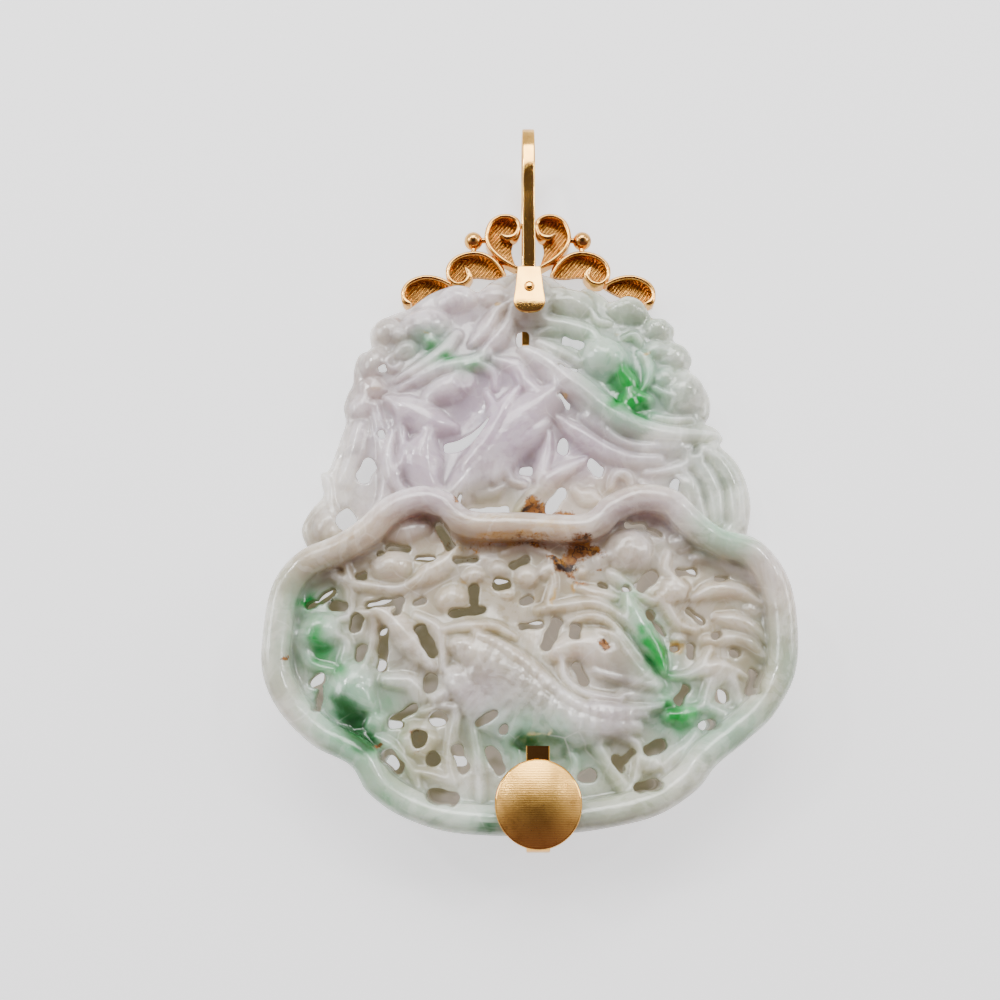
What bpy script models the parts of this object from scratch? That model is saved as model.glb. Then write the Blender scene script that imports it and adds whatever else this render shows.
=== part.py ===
# Pierced jade pendant with gold fittings, lying on its flat back.
# A pouch with a raised lobed rim fills the lower half, and an openwork plaque of
# clouds, a phoenix, a peony and vines rises from it.  The gold fittings are a scroll
# gallery along the top edge, a strip bail with its rivet, and a clip with a round
# button at the foot.  X runs across, Y up the pendant, Z out of its face.
# Places on the carving are pairs of millimetres: across from the middle line, and
# up from the lowest point of the clip.

import math

import bmesh
import bpy
from mathutils import Matrix, Vector

MM = 0.001

# Overall
MIDDLE_UP = 44.5          # height on the pendant of the frame's origin
JOINT_GAP = 0.12          # between pieces that touch

# Jade, depths measured from the flat back
PLAQUE_DEPTH = 4.9
PLAQUE_EDGE = 1.3
PANEL_DEPTH = 8.6         # floor of the front relief
PANEL_EDGE = 2.6
RIM_TOP = 11.8
RIM_RADIUS = 1.55
RIM_INSET = 1.45
BACK_WALL = 3.3
FRONT_WALL = 2.3
SIDE_WALL = 3.3
GRAIN = 0.42              # voxel that the carved forms are melted together with
KEPT_SHARE = 0.0272       # share of the melted surface's triangles that is kept
BLANK_DEPTH = 0.6         # cut off behind the flat back

# Gold strip of the bail
STRIP_WIDE = 1.6
STRIP_THICK = 0.8
LOOP_TOP = 88.8
LOOP_DEEP = 9.2           # from the flat back to the outside of the front leg
STRAP_END = 61.4
TONGUE_LOW = 62.95
TONGUE_HIGH = 69.0
TONGUE_LOW_WIDE = 3.9
TONGUE_HIGH_WIDE = 2.8
TONGUE_ROUND = 1.0        # corners at its lower end
TONGUE_FACE = 7.7
RIVET_UP = 66.3
RIVET_WIDE = 0.9
RIVET_HEAD = 1.3
RIVET_DOME = 0.3

# Scroll gallery
GALLERY_BACK = 1.15
GALLERY_TALL = 2.1
WIRE_THICK = 0.62
FLOOR_THICK = 0.6
BALL_RADIUS = 1.2
BALL_ACROSS = 7.05
BALL_UP = 75.25

# Clip and button at the foot
FOOT_ACROSS = 0.4         # both sit a little to the right
POST_RADIUS = 0.6
POST_DEEP = 5.0
CLIP_CHEEK = 0.54         # of the strip on each side of the button's post
CLIP_WIDE = 2 * (POST_RADIUS + JOINT_GAP + CLIP_CHEEK)
CLIP_THICK = 0.8
CLIP_BEND = 0.8
CLIP_FACE = 12.3
CLIP_HIGH = 11.3
CLIP_BACK_HIGH = 8.0
CLIP_LOW = 0.75           # height of the strip's middle where it passes under the jade
BUTTON_UP = 5.4
BUTTON_RADIUS = 4.55
BUTTON_THICK = 0.75
BUTTON_DOME = 0.35
BUTTON_EDGE = 0.2

POUCH_OUTLINE = [
    (2.0, 2.3), (-4.2, 2.2), (-9.6, 2.7), (-14.3, 4.3), (-17.6, 6.6), (-19.6, 9.4),
    (-23.7, 11.5), (-27.4, 15.0), (-29.5, 19.0), (-29.9, 23.5), (-28.9, 28.9),
    (-26.2, 32.4), (-22.2, 34.3), (-19.4, 36.2), (-16.6, 38.8), (-12.6, 40.1), (-9.2, 39.2),
    (-6.8, 37.2), (-1.0, 37.0), (5.7, 36.8), (8.4, 38.8), (12.3, 40.3), (16.4, 39.6),
    (19.1, 37.0), (21.5, 35.1), (25.4, 33.8), (28.3, 30.2), (29.3, 25.4), (28.6, 19.4),
    (26.0, 14.8), (22.9, 12.0), (19.5, 9.4), (17.2, 6.8), (13.1, 4.3), (7.8, 3.0)]

PLAQUE_OUTLINE = [
    (-22.6, 30.0), (-26.3, 34.4), (-27.4, 36.9), (-25.7, 40.4), (-24.6, 43.9),
    (-23.2, 48.5), (-23.0, 52.4), (-22.1, 56.0), (-21.1, 59.3), (-20.3, 62.4),
    (-17.3, 65.3), (-11.9, 68.3), (-8.6, 69.0), (-6.4, 68.4), (-4.1, 69.4), (0.0, 70.2),
    (3.5, 69.6), (6.0, 68.4), (8.2, 68.7), (10.8, 66.9), (13.5, 67.4), (16.2, 64.9),
    (18.6, 62.6), (20.6, 58.8), (22.3, 55.2), (22.8, 51.4), (23.9, 48.6), (26.0, 44.6),
    (26.7, 39.6), (25.7, 34.0), (22.6, 30.0), (0.0, 28.0)]

# Rounded lumps: across, up, top, half length, half width, turn in degrees
POUCH_LUMPS = [
    (-23.7, 23.9, 10.6, 2.4, 2.2, 0), (-20.0, 17.0, 11.1, 3.7, 2.9, 70),
    (-15.9, 31.2, 11.0, 2.3, 2.0, 0), (-14.2, 35.1, 10.2, 2.6, 1.5, 20),
    (-11.3, 31.2, 10.8, 2.3, 1.0, 40), (-8.6, 27.8, 10.6, 1.5, 1.3, 0),
    (-3.8, 30.9, 10.4, 1.0, 0.9, 0), (-0.9, 30.2, 10.7, 1.6, 1.4, 0),
    (-3.0, 28.0, 10.0, 0.7, 0.7, 0), (5.6, 30.5, 10.2, 0.9, 0.8, 0),
    (11.2, 33.2, 11.2, 2.7, 2.6, 0), (16.0, 28.4, 10.6, 2.0, 1.7, 15),
    (20.2, 28.4, 10.3, 3.0, 1.3, 0), (24.0, 24.4, 10.0, 1.8, 1.0, -10),
    (19.6, 20.4, 10.3, 2.0, 1.0, 12), (22.6, 20.0, 10.2, 1.3, 1.0, 0),
    (16.5, 14.5, 11.2, 1.3, 1.2, 0), (12.6, 9.6, 10.8, 1.7, 1.4, 20),
    (8.0, 21.6, 11.4, 5.2, 3.3, -32), (10.2, 16.9, 10.9, 4.4, 1.5, -6),
    (-16.8, 17.2, 10.0, 2.2, 2.0, 0), (-13.0, 18.2, 10.4, 2.4, 1.4, 35)]

PLAQUE_LUMPS = [
    (-9.0, 66.0, 6.2, 2.9, 2.2, 0), (-3.6, 66.8, 6.3, 2.4, 2.2, 0),
    (5.4, 66.2, 6.1, 3.2, 2.2, -15), (12.6, 64.9, 6.0, 2.5, 2.3, 0),
    (16.3, 62.2, 5.9, 2.1, 2.0, 0), (18.3, 58.4, 6.0, 2.4, 2.1, -30),
    (19.2, 53.6, 6.4, 3.4, 2.9, 60), (-13.0, 63.5, 6.3, 3.0, 1.9, 10),
    (-17.8, 62.4, 5.9, 2.3, 1.9, 40), (-19.1, 57.2, 6.0, 2.6, 2.1, 80),
    (-20.6, 52.4, 5.8, 1.9, 1.7, 0), (-16.0, 61.0, 6.2, 1.0, 1.0, 0),
    (9.9, 58.0, 7.0, 3.6, 3.1, -30), (12.4, 54.2, 7.0, 2.8, 2.1, -60),
    (-9.8, 54.4, 6.9, 4.0, 2.0, 28), (-12.4, 45.0, 6.6, 3.0, 3.6, 0),
    (-24.3, 36.8, 5.8, 2.3, 2.0, 60), (1.6, 43.0, 6.3, 2.0, 2.2, 45),
    (-3.0, 61.0, 6.2, 2.4, 1.6, 20), (15.0, 50.6, 6.1, 3.2, 1.5, -10)]

# Tapering strokes: a top depth, then points across, up and half width
POUCH_STROKES = [
    (11.2, [(-6.8, 20.8, 3.2), (-2.4, 17.2, 3.9), (3.0, 14.2, 3.0), (8.4, 13.2, 2.0),
            (13.2, 14.6, 1.1)]),                                     # body and tail
    (11.5, [(-9.0, 23.4, 0.7), (-5.0, 23.8, 1.0), (-1.2, 20.8, 1.0), (3.4, 17.0, 0.9),
            (7.4, 15.0, 0.8), (11.4, 14.4, 0.6)]),                   # ridge of scales
    (11.4, [(10.5, 27.8, 0.7), (11.5, 25.0, 1.3), (13.0, 22.2, 1.4),
            (14.4, 19.4, 0.7)]),                                     # green leaf
    (11.2, [(-18.2, 26.9, 0.5), (-15.8, 25.3, 1.1), (-13.4, 22.5, 1.5),
            (-11.0, 19.9, 0.6)]),                                    # leaf on the left
    (10.6, [(6.4, 12.0, 1.0), (9.4, 7.6, 1.1), (11.2, 5.6, 1.0)]),   # leg
    (9.5, [(-3.2, 32.6, 0.5), (-1.0, 33.5, 0.6), (1.6, 32.6, 0.6), (3.6, 30.8, 0.5)]),
    (9.7, [(1.6, 25.6, 0.5), (3.2, 27.0, 0.6), (7.0, 27.0, 0.7), (9.6, 25.2, 0.6)]),
    (9.6, [(-20.4, 29.6, 0.5), (-19.0, 28.4, 0.6), (-17.8, 26.9, 0.5)]),
    (9.6, [(-9.8, 14.0, 0.5), (-9.4, 11.4, 0.6), (-9.0, 8.2, 0.5)])]

PLAQUE_STROKES = [
    (6.9, [(-2.4, 58.6, 0.9), (1.2, 58.2, 1.1), (4.6, 55.2, 1.5), (7.8, 51.8, 1.5),
           (11.4, 48.8, 1.4), (16.4, 46.8, 1.2), (21.0, 46.2, 0.9)]),  # body of the tail
    (6.7, [(2.8, 52.8, 1.7), (-1.4, 49.0, 2.0), (-5.6, 44.4, 1.7),
           (-8.6, 40.8, 1.0)]),                                      # scaled neck
    (6.6, [(-15.4, 56.2, 0.5), (-12.4, 58.2, 0.9), (-9.0, 60.8, 0.9)]),
    (6.2, [(-14.8, 50.2, 0.6), (-11.0, 49.4, 0.9), (-6.6, 52.2, 0.7)]),
    (6.2, [(22.4, 46.4, 0.8), (24.4, 43.0, 1.0), (24.8, 38.0, 0.9)]),
    (6.1, [(20.0, 44.6, 0.6), (21.8, 40.6, 0.8), (21.6, 36.4, 0.7)]),
    (6.2, [(-22.2, 50.0, 0.8), (-23.0, 45.6, 0.9), (-23.6, 40.6, 0.8)]),
    (6.2, [(-17.4, 50.6, 0.7), (-16.6, 45.6, 0.8), (-17.4, 41.0, 0.7)]),
    (6.0, [(6.6, 44.8, 0.5), (2.4, 42.4, 0.9), (-1.4, 38.6, 0.6)]),
    (5.7, [(9.0, 43.4, 0.5), (11.6, 43.6, 0.6), (12.6, 42.2, 0.5)])]

# Rings: across, up, top, radius to the middle of the band, half width of the band
RINGS = [
    (-12.4, 12.1, 9.8, 1.75, 0.7), (9.9, 58.2, 7.2, 1.7, 0.35),
    (11.2, 33.2, 11.3, 1.9, 0.45)]

# Pierced slots: across, up, length, width, turn in degrees
PANEL_HOLES = [
    (-23.6, 27.4, 3.8, 1.5, 25), (-21.9, 26.8, 2.2, 1.5, -10), (-19.8, 24.8, 2.2, 1.6, 80),
    (-19.2, 21.5, 2.1, 1.5, 80), (-16.6, 27.1, 4.2, 1.2, 10), (-12.8, 27.3, 1.6, 0.9, 20),
    (-17.2, 32.8, 0.9, 0.8, 0), (-15.2, 33.3, 2.8, 0.9, -5), (-12.1, 32.2, 2.4, 0.9, -3),
    (-9.9, 34.8, 3.9, 1.2, -62), (-7.5, 32.1, 3.0, 0.8, 5), (-19.4, 30.2, 1.3, 1.1, 0),
    (-16.7, 21.9, 5.0, 1.2, 87), (-11.8, 22.8, 4.2, 1.3, -62), (-11.3, 18.2, 2.5, 1.6, 85),
    (-6.6, 28.1, 2.6, 1.3, 90), (-7.3, 26.2, 4.4, 1.2, 8), (-3.4, 29.3, 2.3, 1.3, 0),
    (-0.7, 27.5, 1.5, 1.3, 0), (-1.3, 31.8, 2.4, 1.0, 25), (0.0, 24.7, 3.0, 0.9, 5),
    (2.2, 23.6, 4.2, 1.2, 66), (4.8, 23.8, 2.1, 1.3, 80), (5.3, 19.1, 2.9, 1.2, -65),
    (10.7, 28.8, 1.1, 1.1, 0), (13.1, 29.7, 3.6, 1.4, 42), (13.4, 25.6, 1.5, 1.1, -50),
    (17.7, 30.6, 2.6, 1.0, 0), (18.4, 25.5, 2.6, 1.0, -40), (13.0, 35.8, 3.8, 0.9, -16),
    (16.0, 22.0, 1.3, 0.8, 15), (17.7, 21.7, 1.8, 1.1, 85), (22.7, 21.5, 1.3, 1.2, 0),
    (20.9, 16.8, 1.9, 1.4, -15), (24.4, 18.3, 3.2, 1.1, 75), (16.5, 16.9, 2.7, 1.0, 56),
    (19.2, 13.6, 2.1, 1.2, 12), (13.4, 11.2, 3.0, 1.4, 20), (9.3, 9.5, 2.1, 1.1, -60),
    (10.3, 10.3, 2.0, 0.9, 43), (12.3, 7.2, 3.0, 1.2, 10), (5.9, 8.2, 2.1, 1.7, 10),
    (-23.9, 18.4, 2.2, 1.3, 35), (-23.7, 16.4, 2.8, 0.9, 85), (-14.3, 14.7, 3.8, 1.1, 30),
    (-10.4, 14.4, 2.2, 1.6, 0), (-12.4, 12.1, 2.0, 1.6, 90), (-15.4, 9.8, 3.0, 1.5, -45),
    (-10.9, 10.0, 1.8, 1.5, 0), (-7.9, 10.0, 3.4, 1.2, -68), (-4.1, 9.9, 3.4, 1.4, -62),
    (-9.8, 6.0, 3.6, 1.5, -10), (-5.1, 14.3, 2.8, 1.1, 30)]

BACK_HOLES = [
    (-24.9, 29.2, 2.8, 1.6, 38), (-18.2, 28.3, 3.2, 1.4, 15), (-18.4, 34.3, 1.4, 1.2, 0),
    (-12.9, 33.7, 3.2, 1.4, 0), (-3.7, 30.8, 2.0, 1.4, 0), (-17.7, 20.4, 2.2, 1.7, 20),
    (0.0, 26.2, 2.4, 1.2, 0), (11.4, 30.0, 1.8, 1.8, 0), (19.6, 32.0, 2.4, 1.4, 0),
    (19.7, 26.6, 3.2, 1.4, -40), (22.4, 17.2, 2.4, 2.0, 0), (20.2, 13.6, 2.0, 1.6, 0),
    (-25.5, 19.0, 2.8, 1.8, 35), (-16.0, 13.6, 2.4, 1.3, 0), (-11.1, 14.0, 2.4, 1.4, 0),
    (-16.0, 9.3, 1.8, 1.8, 0), (-8.5, 9.7, 2.0, 1.3, 0), (6.0, 31.4, 2.2, 1.6, 0),
    (12.6, 22.2, 2.6, 1.6, 50), (-9.6, 22.4, 2.6, 1.6, -40), (8.6, 12.6, 2.6, 1.6, 30),
    (3.0, 17.6, 2.4, 1.6, 0), (-5.2, 18.0, 2.4, 1.6, 20)]

PLAQUE_HOLES = [
    (-9.6, 46.5, 2.6, 1.2, 8), (-7.6, 47.6, 3.0, 1.0, 42), (-5.8, 49.3, 2.2, 0.7, 52),
    (-18.0, 48.2, 1.1, 1.0, 0), (-19.7, 43.7, 3.0, 1.6, 62), (-21.9, 37.4, 2.6, 2.4, 60),
    (-0.8, 60.3, 1.8, 1.7, 90), (5.5, 60.1, 2.9, 0.8, -18), (4.7, 56.5, 2.4, 0.7, -18),
    (4.0, 46.7, 1.7, 1.5, 90), (7.8, 44.0, 2.5, 1.1, -50), (17.2, 41.6, 1.9, 1.1, 85),
    (-0.6, 43.5, 1.7, 0.9, 0), (3.0, 40.2, 3.2, 1.3, 52), (-5.0, 38.7, 4.9, 0.9, 4),
    (-18.1, 56.5, 1.2, 0.9, 0)]

# Centre lines of the scrolls on the left, from the middle outwards
UPPER_SCROLL = [
    (-1.3, 71.0), (-3.3, 72.3), (-4.8, 73.9), (-5.3, 75.6), (-4.8, 77.4), (-3.7, 78.3),
    (-2.4, 78.4), (-1.4, 77.8), (-1.2, 76.8), (-1.7, 75.7), (-2.7, 75.4), (-3.5, 75.8)]
MIDDLE_SCROLL = [
    (-3.0, 70.1), (-3.8, 71.4), (-4.9, 72.5), (-6.3, 73.1), (-8.0, 73.0), (-9.4, 72.3),
    (-10.2, 71.1), (-10.1, 69.7), (-9.2, 68.9), (-8.1, 69.1), (-7.5, 70.1), (-8.0, 71.1)]
OUTER_SCROLL = [
    (-9.9, 68.8), (-11.3, 69.5), (-12.8, 69.8), (-14.1, 69.6), (-15.3, 68.9), (-15.9, 67.8),
    (-15.7, 66.6), (-14.9, 66.1)]
# Floors of the scrolls, each a closed outline under its wire
UPPER_FLOOR = [
    (-1.5, 71.2), (-3.3, 72.3), (-4.8, 73.9), (-5.3, 75.6), (-4.8, 77.4), (-3.7, 78.3),
    (-2.4, 78.4), (-1.4, 77.6), (-1.7, 75.9), (-2.1, 73.9)]
MIDDLE_FLOOR = [
    (-3.1, 70.5), (-3.8, 71.4), (-4.9, 72.5), (-6.3, 73.1), (-8.0, 73.0), (-9.4, 72.3),
    (-10.2, 71.1), (-9.8, 69.6), (-8.6, 69.2), (-7.6, 70.1), (-6.6, 70.4), (-4.6, 70.2)]
OUTER_FLOOR = [
    (-10.1, 68.7), (-11.3, 69.5), (-12.8, 69.8), (-14.1, 69.6), (-15.3, 68.9),
    (-15.9, 67.8), (-15.3, 66.3), (-13.3, 67.0)]


def clear_scene():
    for item in list(bpy.data.objects):
        bpy.data.objects.remove(item, do_unlink=True)


def make_collection(name):
    collection = bpy.data.collections.new(name)
    bpy.context.scene.collection.children.link(collection)
    return collection


def place(across, up, depth):
    """A point of the pendant in metres, in the frame of the part."""
    return Vector((across, up - MIDDLE_UP, depth)) * MM


def add_object(name, data, collection):
    item = bpy.data.objects.new(name, data)
    collection.objects.link(item)
    return item


def inset(points, distance):
    """The closed outline moved inwards; the points run clockwise seen from the front."""
    moved = []
    count = len(points)
    for index, (across, up) in enumerate(points):
        before = Vector(points[index - 1])
        after = Vector(points[(index + 1) % count])
        along = (after - before).normalized()
        moved.append((across + along.y * distance, up - along.x * distance))
    return moved


def curve_data(name, points, closed, smooth_steps, flat, radii=None):
    """A curve through the points, which are in metres; smooth_steps of 0 keeps it angular."""
    data = bpy.data.curves.new(name, "CURVE")
    data.dimensions = "2D" if flat else "3D"
    if smooth_steps:
        spline = data.splines.new("BEZIER")
        spline.bezier_points.add(len(points) - 1)
        data.resolution_u = smooth_steps
        for index, (target, point) in enumerate(zip(spline.bezier_points, points)):
            target.co = point
            target.handle_left_type = "AUTO"
            target.handle_right_type = "AUTO"
            target.radius = radii[index] if radii else 1.0
    else:
        spline = data.splines.new("POLY")
        spline.points.add(len(points) - 1)
        for index, (target, point) in enumerate(zip(spline.points, points)):
            target.co = (*point, 1.0)
            target.radius = radii[index] if radii else 1.0
    spline.use_cyclic_u = closed
    return data


def curve_to_mesh(data, turn=None):
    """The curve as a welded mesh in metres; the curve itself is removed."""
    item = bpy.data.objects.new(data.name, data)
    BENCH.collection.objects.link(item)
    if turn is not None:
        item.matrix_world = turn
    layer = BENCH.view_layers[0]
    layer.update()
    mesh = bpy.data.meshes.new_from_object(item.evaluated_get(layer.depsgraph))
    mesh.transform(item.matrix_world)
    bpy.data.objects.remove(item, do_unlink=True)
    bpy.data.curves.remove(data)
    form = bmesh.new()
    form.from_mesh(mesh)
    bmesh.ops.remove_doubles(form, verts=form.verts, dist=0.001 * MM)
    bmesh.ops.recalc_face_normals(form, faces=form.faces)
    form.to_mesh(mesh)
    form.free()
    return mesh


def plate(name, points, low, high, edge=0.0, smooth_steps=3, edge_steps=1):
    """A flat plate between two depths, from an outline in millimetres."""
    corners = [place(across, up, 0.0) for across, up in points]
    data = curve_data(name, corners, True, smooth_steps, True)
    data.fill_mode = "BOTH"
    data.extrude = ((high - low) / 2 - edge) * MM
    data.bevel_depth = edge * MM
    data.bevel_resolution = edge_steps
    data.offset = -edge * MM
    return curve_to_mesh(data, Matrix.Translation((0, 0, (low + high) / 2 * MM)))


def ribbon(name, corners, wide, thick, turn, smooth_steps=2):
    """A flat strip bent in the XY plane, as wide as given along Z, then turned."""
    data = curve_data(name, corners, False, smooth_steps, False)
    data.twist_mode = "Z_UP"
    data.fill_mode = "FULL"
    data.extrude = (wide - thick) / 2 * MM
    data.bevel_depth = thick / 2 * MM
    data.bevel_resolution = 0
    data.use_fill_caps = True
    return curve_to_mesh(data, turn)


def wire(name, points):
    """A scroll of the gallery, standing on its edge."""
    corners = [place(across, up, 0.0) for across, up in points]
    middle = (GALLERY_BACK + GALLERY_TALL / 2) * MM
    return ribbon(name, corners, GALLERY_TALL, WIRE_THICK,
                  Matrix.Translation((0, 0, middle)), smooth_steps=1)


def side_strip(name, points, wide, thick, across=0.0):
    """A strip bent in an upright plane along the pendant, from pairs of up and depth."""
    corners = [Vector((up - MIDDLE_UP, depth, across)) * MM for up, depth in points]
    turn = Matrix(((0, 0, 1, 0), (1, 0, 0, 0), (0, 1, 0, 0), (0, 0, 0, 1)))
    return ribbon(name, corners, wide, thick, turn)


def stroke(name, top, points, closed=False, sides=2, smooth_steps=4):
    """A round, tapering ridge whose highest line lies at one depth."""
    corners = [place(across, up, top - half) for across, up, half in points]
    radii = [half for _, _, half in points]
    data = curve_data(name, corners, closed, smooth_steps, False, radii)
    data.fill_mode = "FULL"
    data.bevel_depth = MM
    data.bevel_resolution = sides
    data.use_fill_caps = True
    return curve_to_mesh(data)


def lump(across, up, top, half_long, half_wide, turn, deep=2.6):
    """A rounded lump, half of its depth given last."""
    form = bmesh.new()
    bmesh.ops.create_uvsphere(form, u_segments=16, v_segments=10, radius=1.0)
    size = Matrix.Diagonal((half_long * MM, half_wide * MM, deep * MM, 1.0))
    spin = Matrix.Rotation(math.radians(turn), 4, "Z")
    form.transform(Matrix.Translation(place(across, up, top - deep)) @ spin @ size)
    mesh = bpy.data.meshes.new("lump")
    form.to_mesh(mesh)
    form.free()
    return mesh


def drum(across, up, low, high, radius, sides):
    """An upright cylinder between two depths."""
    form = bmesh.new()
    bmesh.ops.create_cone(form, cap_ends=True, segments=sides, radius1=radius * MM,
                          radius2=radius * MM, depth=(high - low) * MM)
    form.transform(Matrix.Translation(place(across, up, (low + high) / 2)))
    mesh = bpy.data.meshes.new("drum")
    form.to_mesh(mesh)
    form.free()
    return mesh


def slot(across, up, long, wide, turn, low, high):
    """A round-ended slot as a prism between two depths."""
    form = bmesh.new()
    bmesh.ops.create_cone(form, cap_ends=True, segments=10, radius1=0.5, radius2=0.5,
                          depth=(high - low) * MM)
    reach = (long - wide) / 2
    for vert in form.verts:
        side = math.copysign(reach, vert.co.x) if abs(vert.co.x) > 0.01 else 0.0
        vert.co.x = (vert.co.x * wide + side) * MM
        vert.co.y = vert.co.y * wide * MM
    spin = Matrix.Rotation(math.radians(turn), 4, "Z")
    form.transform(Matrix.Translation(place(across, up, (low + high) / 2)) @ spin)
    mesh = bpy.data.meshes.new("slot")
    form.to_mesh(mesh)
    form.free()
    return mesh


def box(low_corner, high_corner):
    """A block between two corners, given across, up and in depth."""
    form = bmesh.new()
    bmesh.ops.create_cube(form, size=1.0)
    low = place(*low_corner)
    high = place(*high_corner)
    form.transform(Matrix.Translation((low + high) / 2) @ Matrix.Diagonal((*(high - low), 1.0)))
    mesh = bpy.data.meshes.new("box")
    form.to_mesh(mesh)
    form.free()
    return mesh


def merge(name, meshes):
    """Several meshes laid into one, not yet joined where they overlap."""
    form = bmesh.new()
    for mesh in meshes:
        form.from_mesh(mesh)
        bpy.data.meshes.remove(mesh)
    joined = bpy.data.meshes.new(name)
    form.to_mesh(joined)
    form.free()
    return joined


def add_cutters(name, meshes, parent):
    """A collection of cutters, one object for each mesh."""
    collection = bpy.data.collections.new(name)
    parent.children.link(collection)
    for index, mesh in enumerate(meshes):
        item = add_object("%s_%02d" % (name, index), mesh, collection)
        item.hide_render = True
        item.display_type = "WIRE"
    return collection


def combine(item, name, operation, collection):
    modifier = item.modifiers.new(name, "BOOLEAN")
    modifier.operation = operation
    modifier.operand_type = "COLLECTION"
    modifier.collection = collection
    return modifier


def turned(name, profile, across, up, sides, parts, material):
    """A turned piece from pairs of radius and depth, listed from the front to the back."""
    mesh = bpy.data.meshes.new(name)
    points = [(radius * MM, 0.0, depth * MM) for radius, depth in profile]
    links = [(index, index + 1) for index in range(len(points) - 1)]
    mesh.from_pydata(points, links, [])
    mesh.materials.append(material)
    item = add_object(name, mesh, parts)
    item.location = place(across, up, 0.0)
    screw = item.modifiers.new("turn", "SCREW")
    screw.steps = sides
    screw.render_steps = sides
    screw.use_merge_vertices = True
    screw.merge_threshold = 0.01 * MM
    screw.use_smooth_shade = False
    return item


def join(name, meshes, parts, cutters, material):
    """One solid from pieces that overlap, the first of which carries the union."""
    first = meshes[0]
    first.materials.append(material)
    item = add_object(name, first, parts)
    added = add_cutters(name + "_added", meshes[1:], cutters)
    combine(item, "join", "UNION", added)
    return item


def make_material(name, colour, roughness, metallic):
    material = bpy.data.materials.new(name)
    material.use_nodes = True
    shader = material.node_tree.nodes["Principled BSDF"]
    shader.inputs["Base Color"].default_value = (*colour, 1.0)
    shader.inputs["Roughness"].default_value = roughness
    shader.inputs["Metallic"].default_value = metallic
    return material


def shade_round(item, angle):
    item.data.shade_smooth()
    item.data.set_sharp_from_angle(angle=math.radians(angle))


def carved_forms():
    """Every swelling form of the jade, before they are melted into one."""
    rim = [(across, up, RIM_RADIUS) for across, up in inset(POUCH_OUTLINE, RIM_INSET)]
    forms = [
        plate("plaque", PLAQUE_OUTLINE, -BLANK_DEPTH, PLAQUE_DEPTH, PLAQUE_EDGE),
        plate("pouch", POUCH_OUTLINE, -BLANK_DEPTH, PANEL_DEPTH, PANEL_EDGE,
              edge_steps=2),
        stroke("rim", RIM_TOP, rim, closed=True, sides=3),
        stroke("rim_foot", RIM_TOP - RIM_RADIUS, rim, closed=True, sides=3),
        lump(0.0, (TONGUE_LOW + TONGUE_HIGH) / 2, TONGUE_FACE + 0.6, 4.0, 3.3, 90)]
    for numbers in POUCH_LUMPS + PLAQUE_LUMPS:
        forms.append(lump(*numbers))
    for top, points in POUCH_STROKES + PLAQUE_STROKES:
        forms.append(stroke("stroke", top, points))
    for across, up, top, radius, half in RINGS:
        round_points = []
        for step in range(8):
            angle = step * math.tau / 8
            round_points.append((across + radius * math.cos(angle),
                                 up + radius * math.sin(angle), half))
        forms.append(stroke("ring", top, round_points, closed=True))
    return forms


def make_jade(parts, cutters, material):
    jade = add_object("jade_carving", merge("jade_carving", carved_forms()), parts)
    jade.data.materials.append(material)
    melt(jade, "melt")
    cavity_top = PANEL_DEPTH - FRONT_WALL
    hollow = [plate("hollow", inset(POUCH_OUTLINE, SIDE_WALL), BACK_WALL, cavity_top, 0.9)]
    for hole in PANEL_HOLES:
        hollow.append(slot(*hole, cavity_top - 0.8, RIM_TOP + 1.0))
    for hole in BACK_HOLES:
        hollow.append(slot(*hole, -1.0, BACK_WALL + 0.8))
    for hole in PLAQUE_HOLES:
        hollow.append(slot(*hole, -1.0, RIM_TOP + 1.0))
    # The exact solver leaves open edges on the fine melted surface
    pierce = combine(jade, "pierce", "DIFFERENCE", add_cutters("piercing", hollow, cutters))
    pierce.solver = "MANIFOLD"
    melt(jade, "melt_again")

    thin = jade.modifiers.new("thin", "DECIMATE")
    thin.ratio = KEPT_SHARE
    fit = combine(jade, "fit", "DIFFERENCE",
                  add_cutters("fitting", fitting_cutters(), cutters))
    fit.solver = "MANIFOLD"
    return jade


def melt(item, name):
    modifier = item.modifiers.new(name, "REMESH")
    modifier.mode = "VOXEL"
    modifier.voxel_size = GRAIN * MM
    modifier.use_smooth_shade = True


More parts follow.
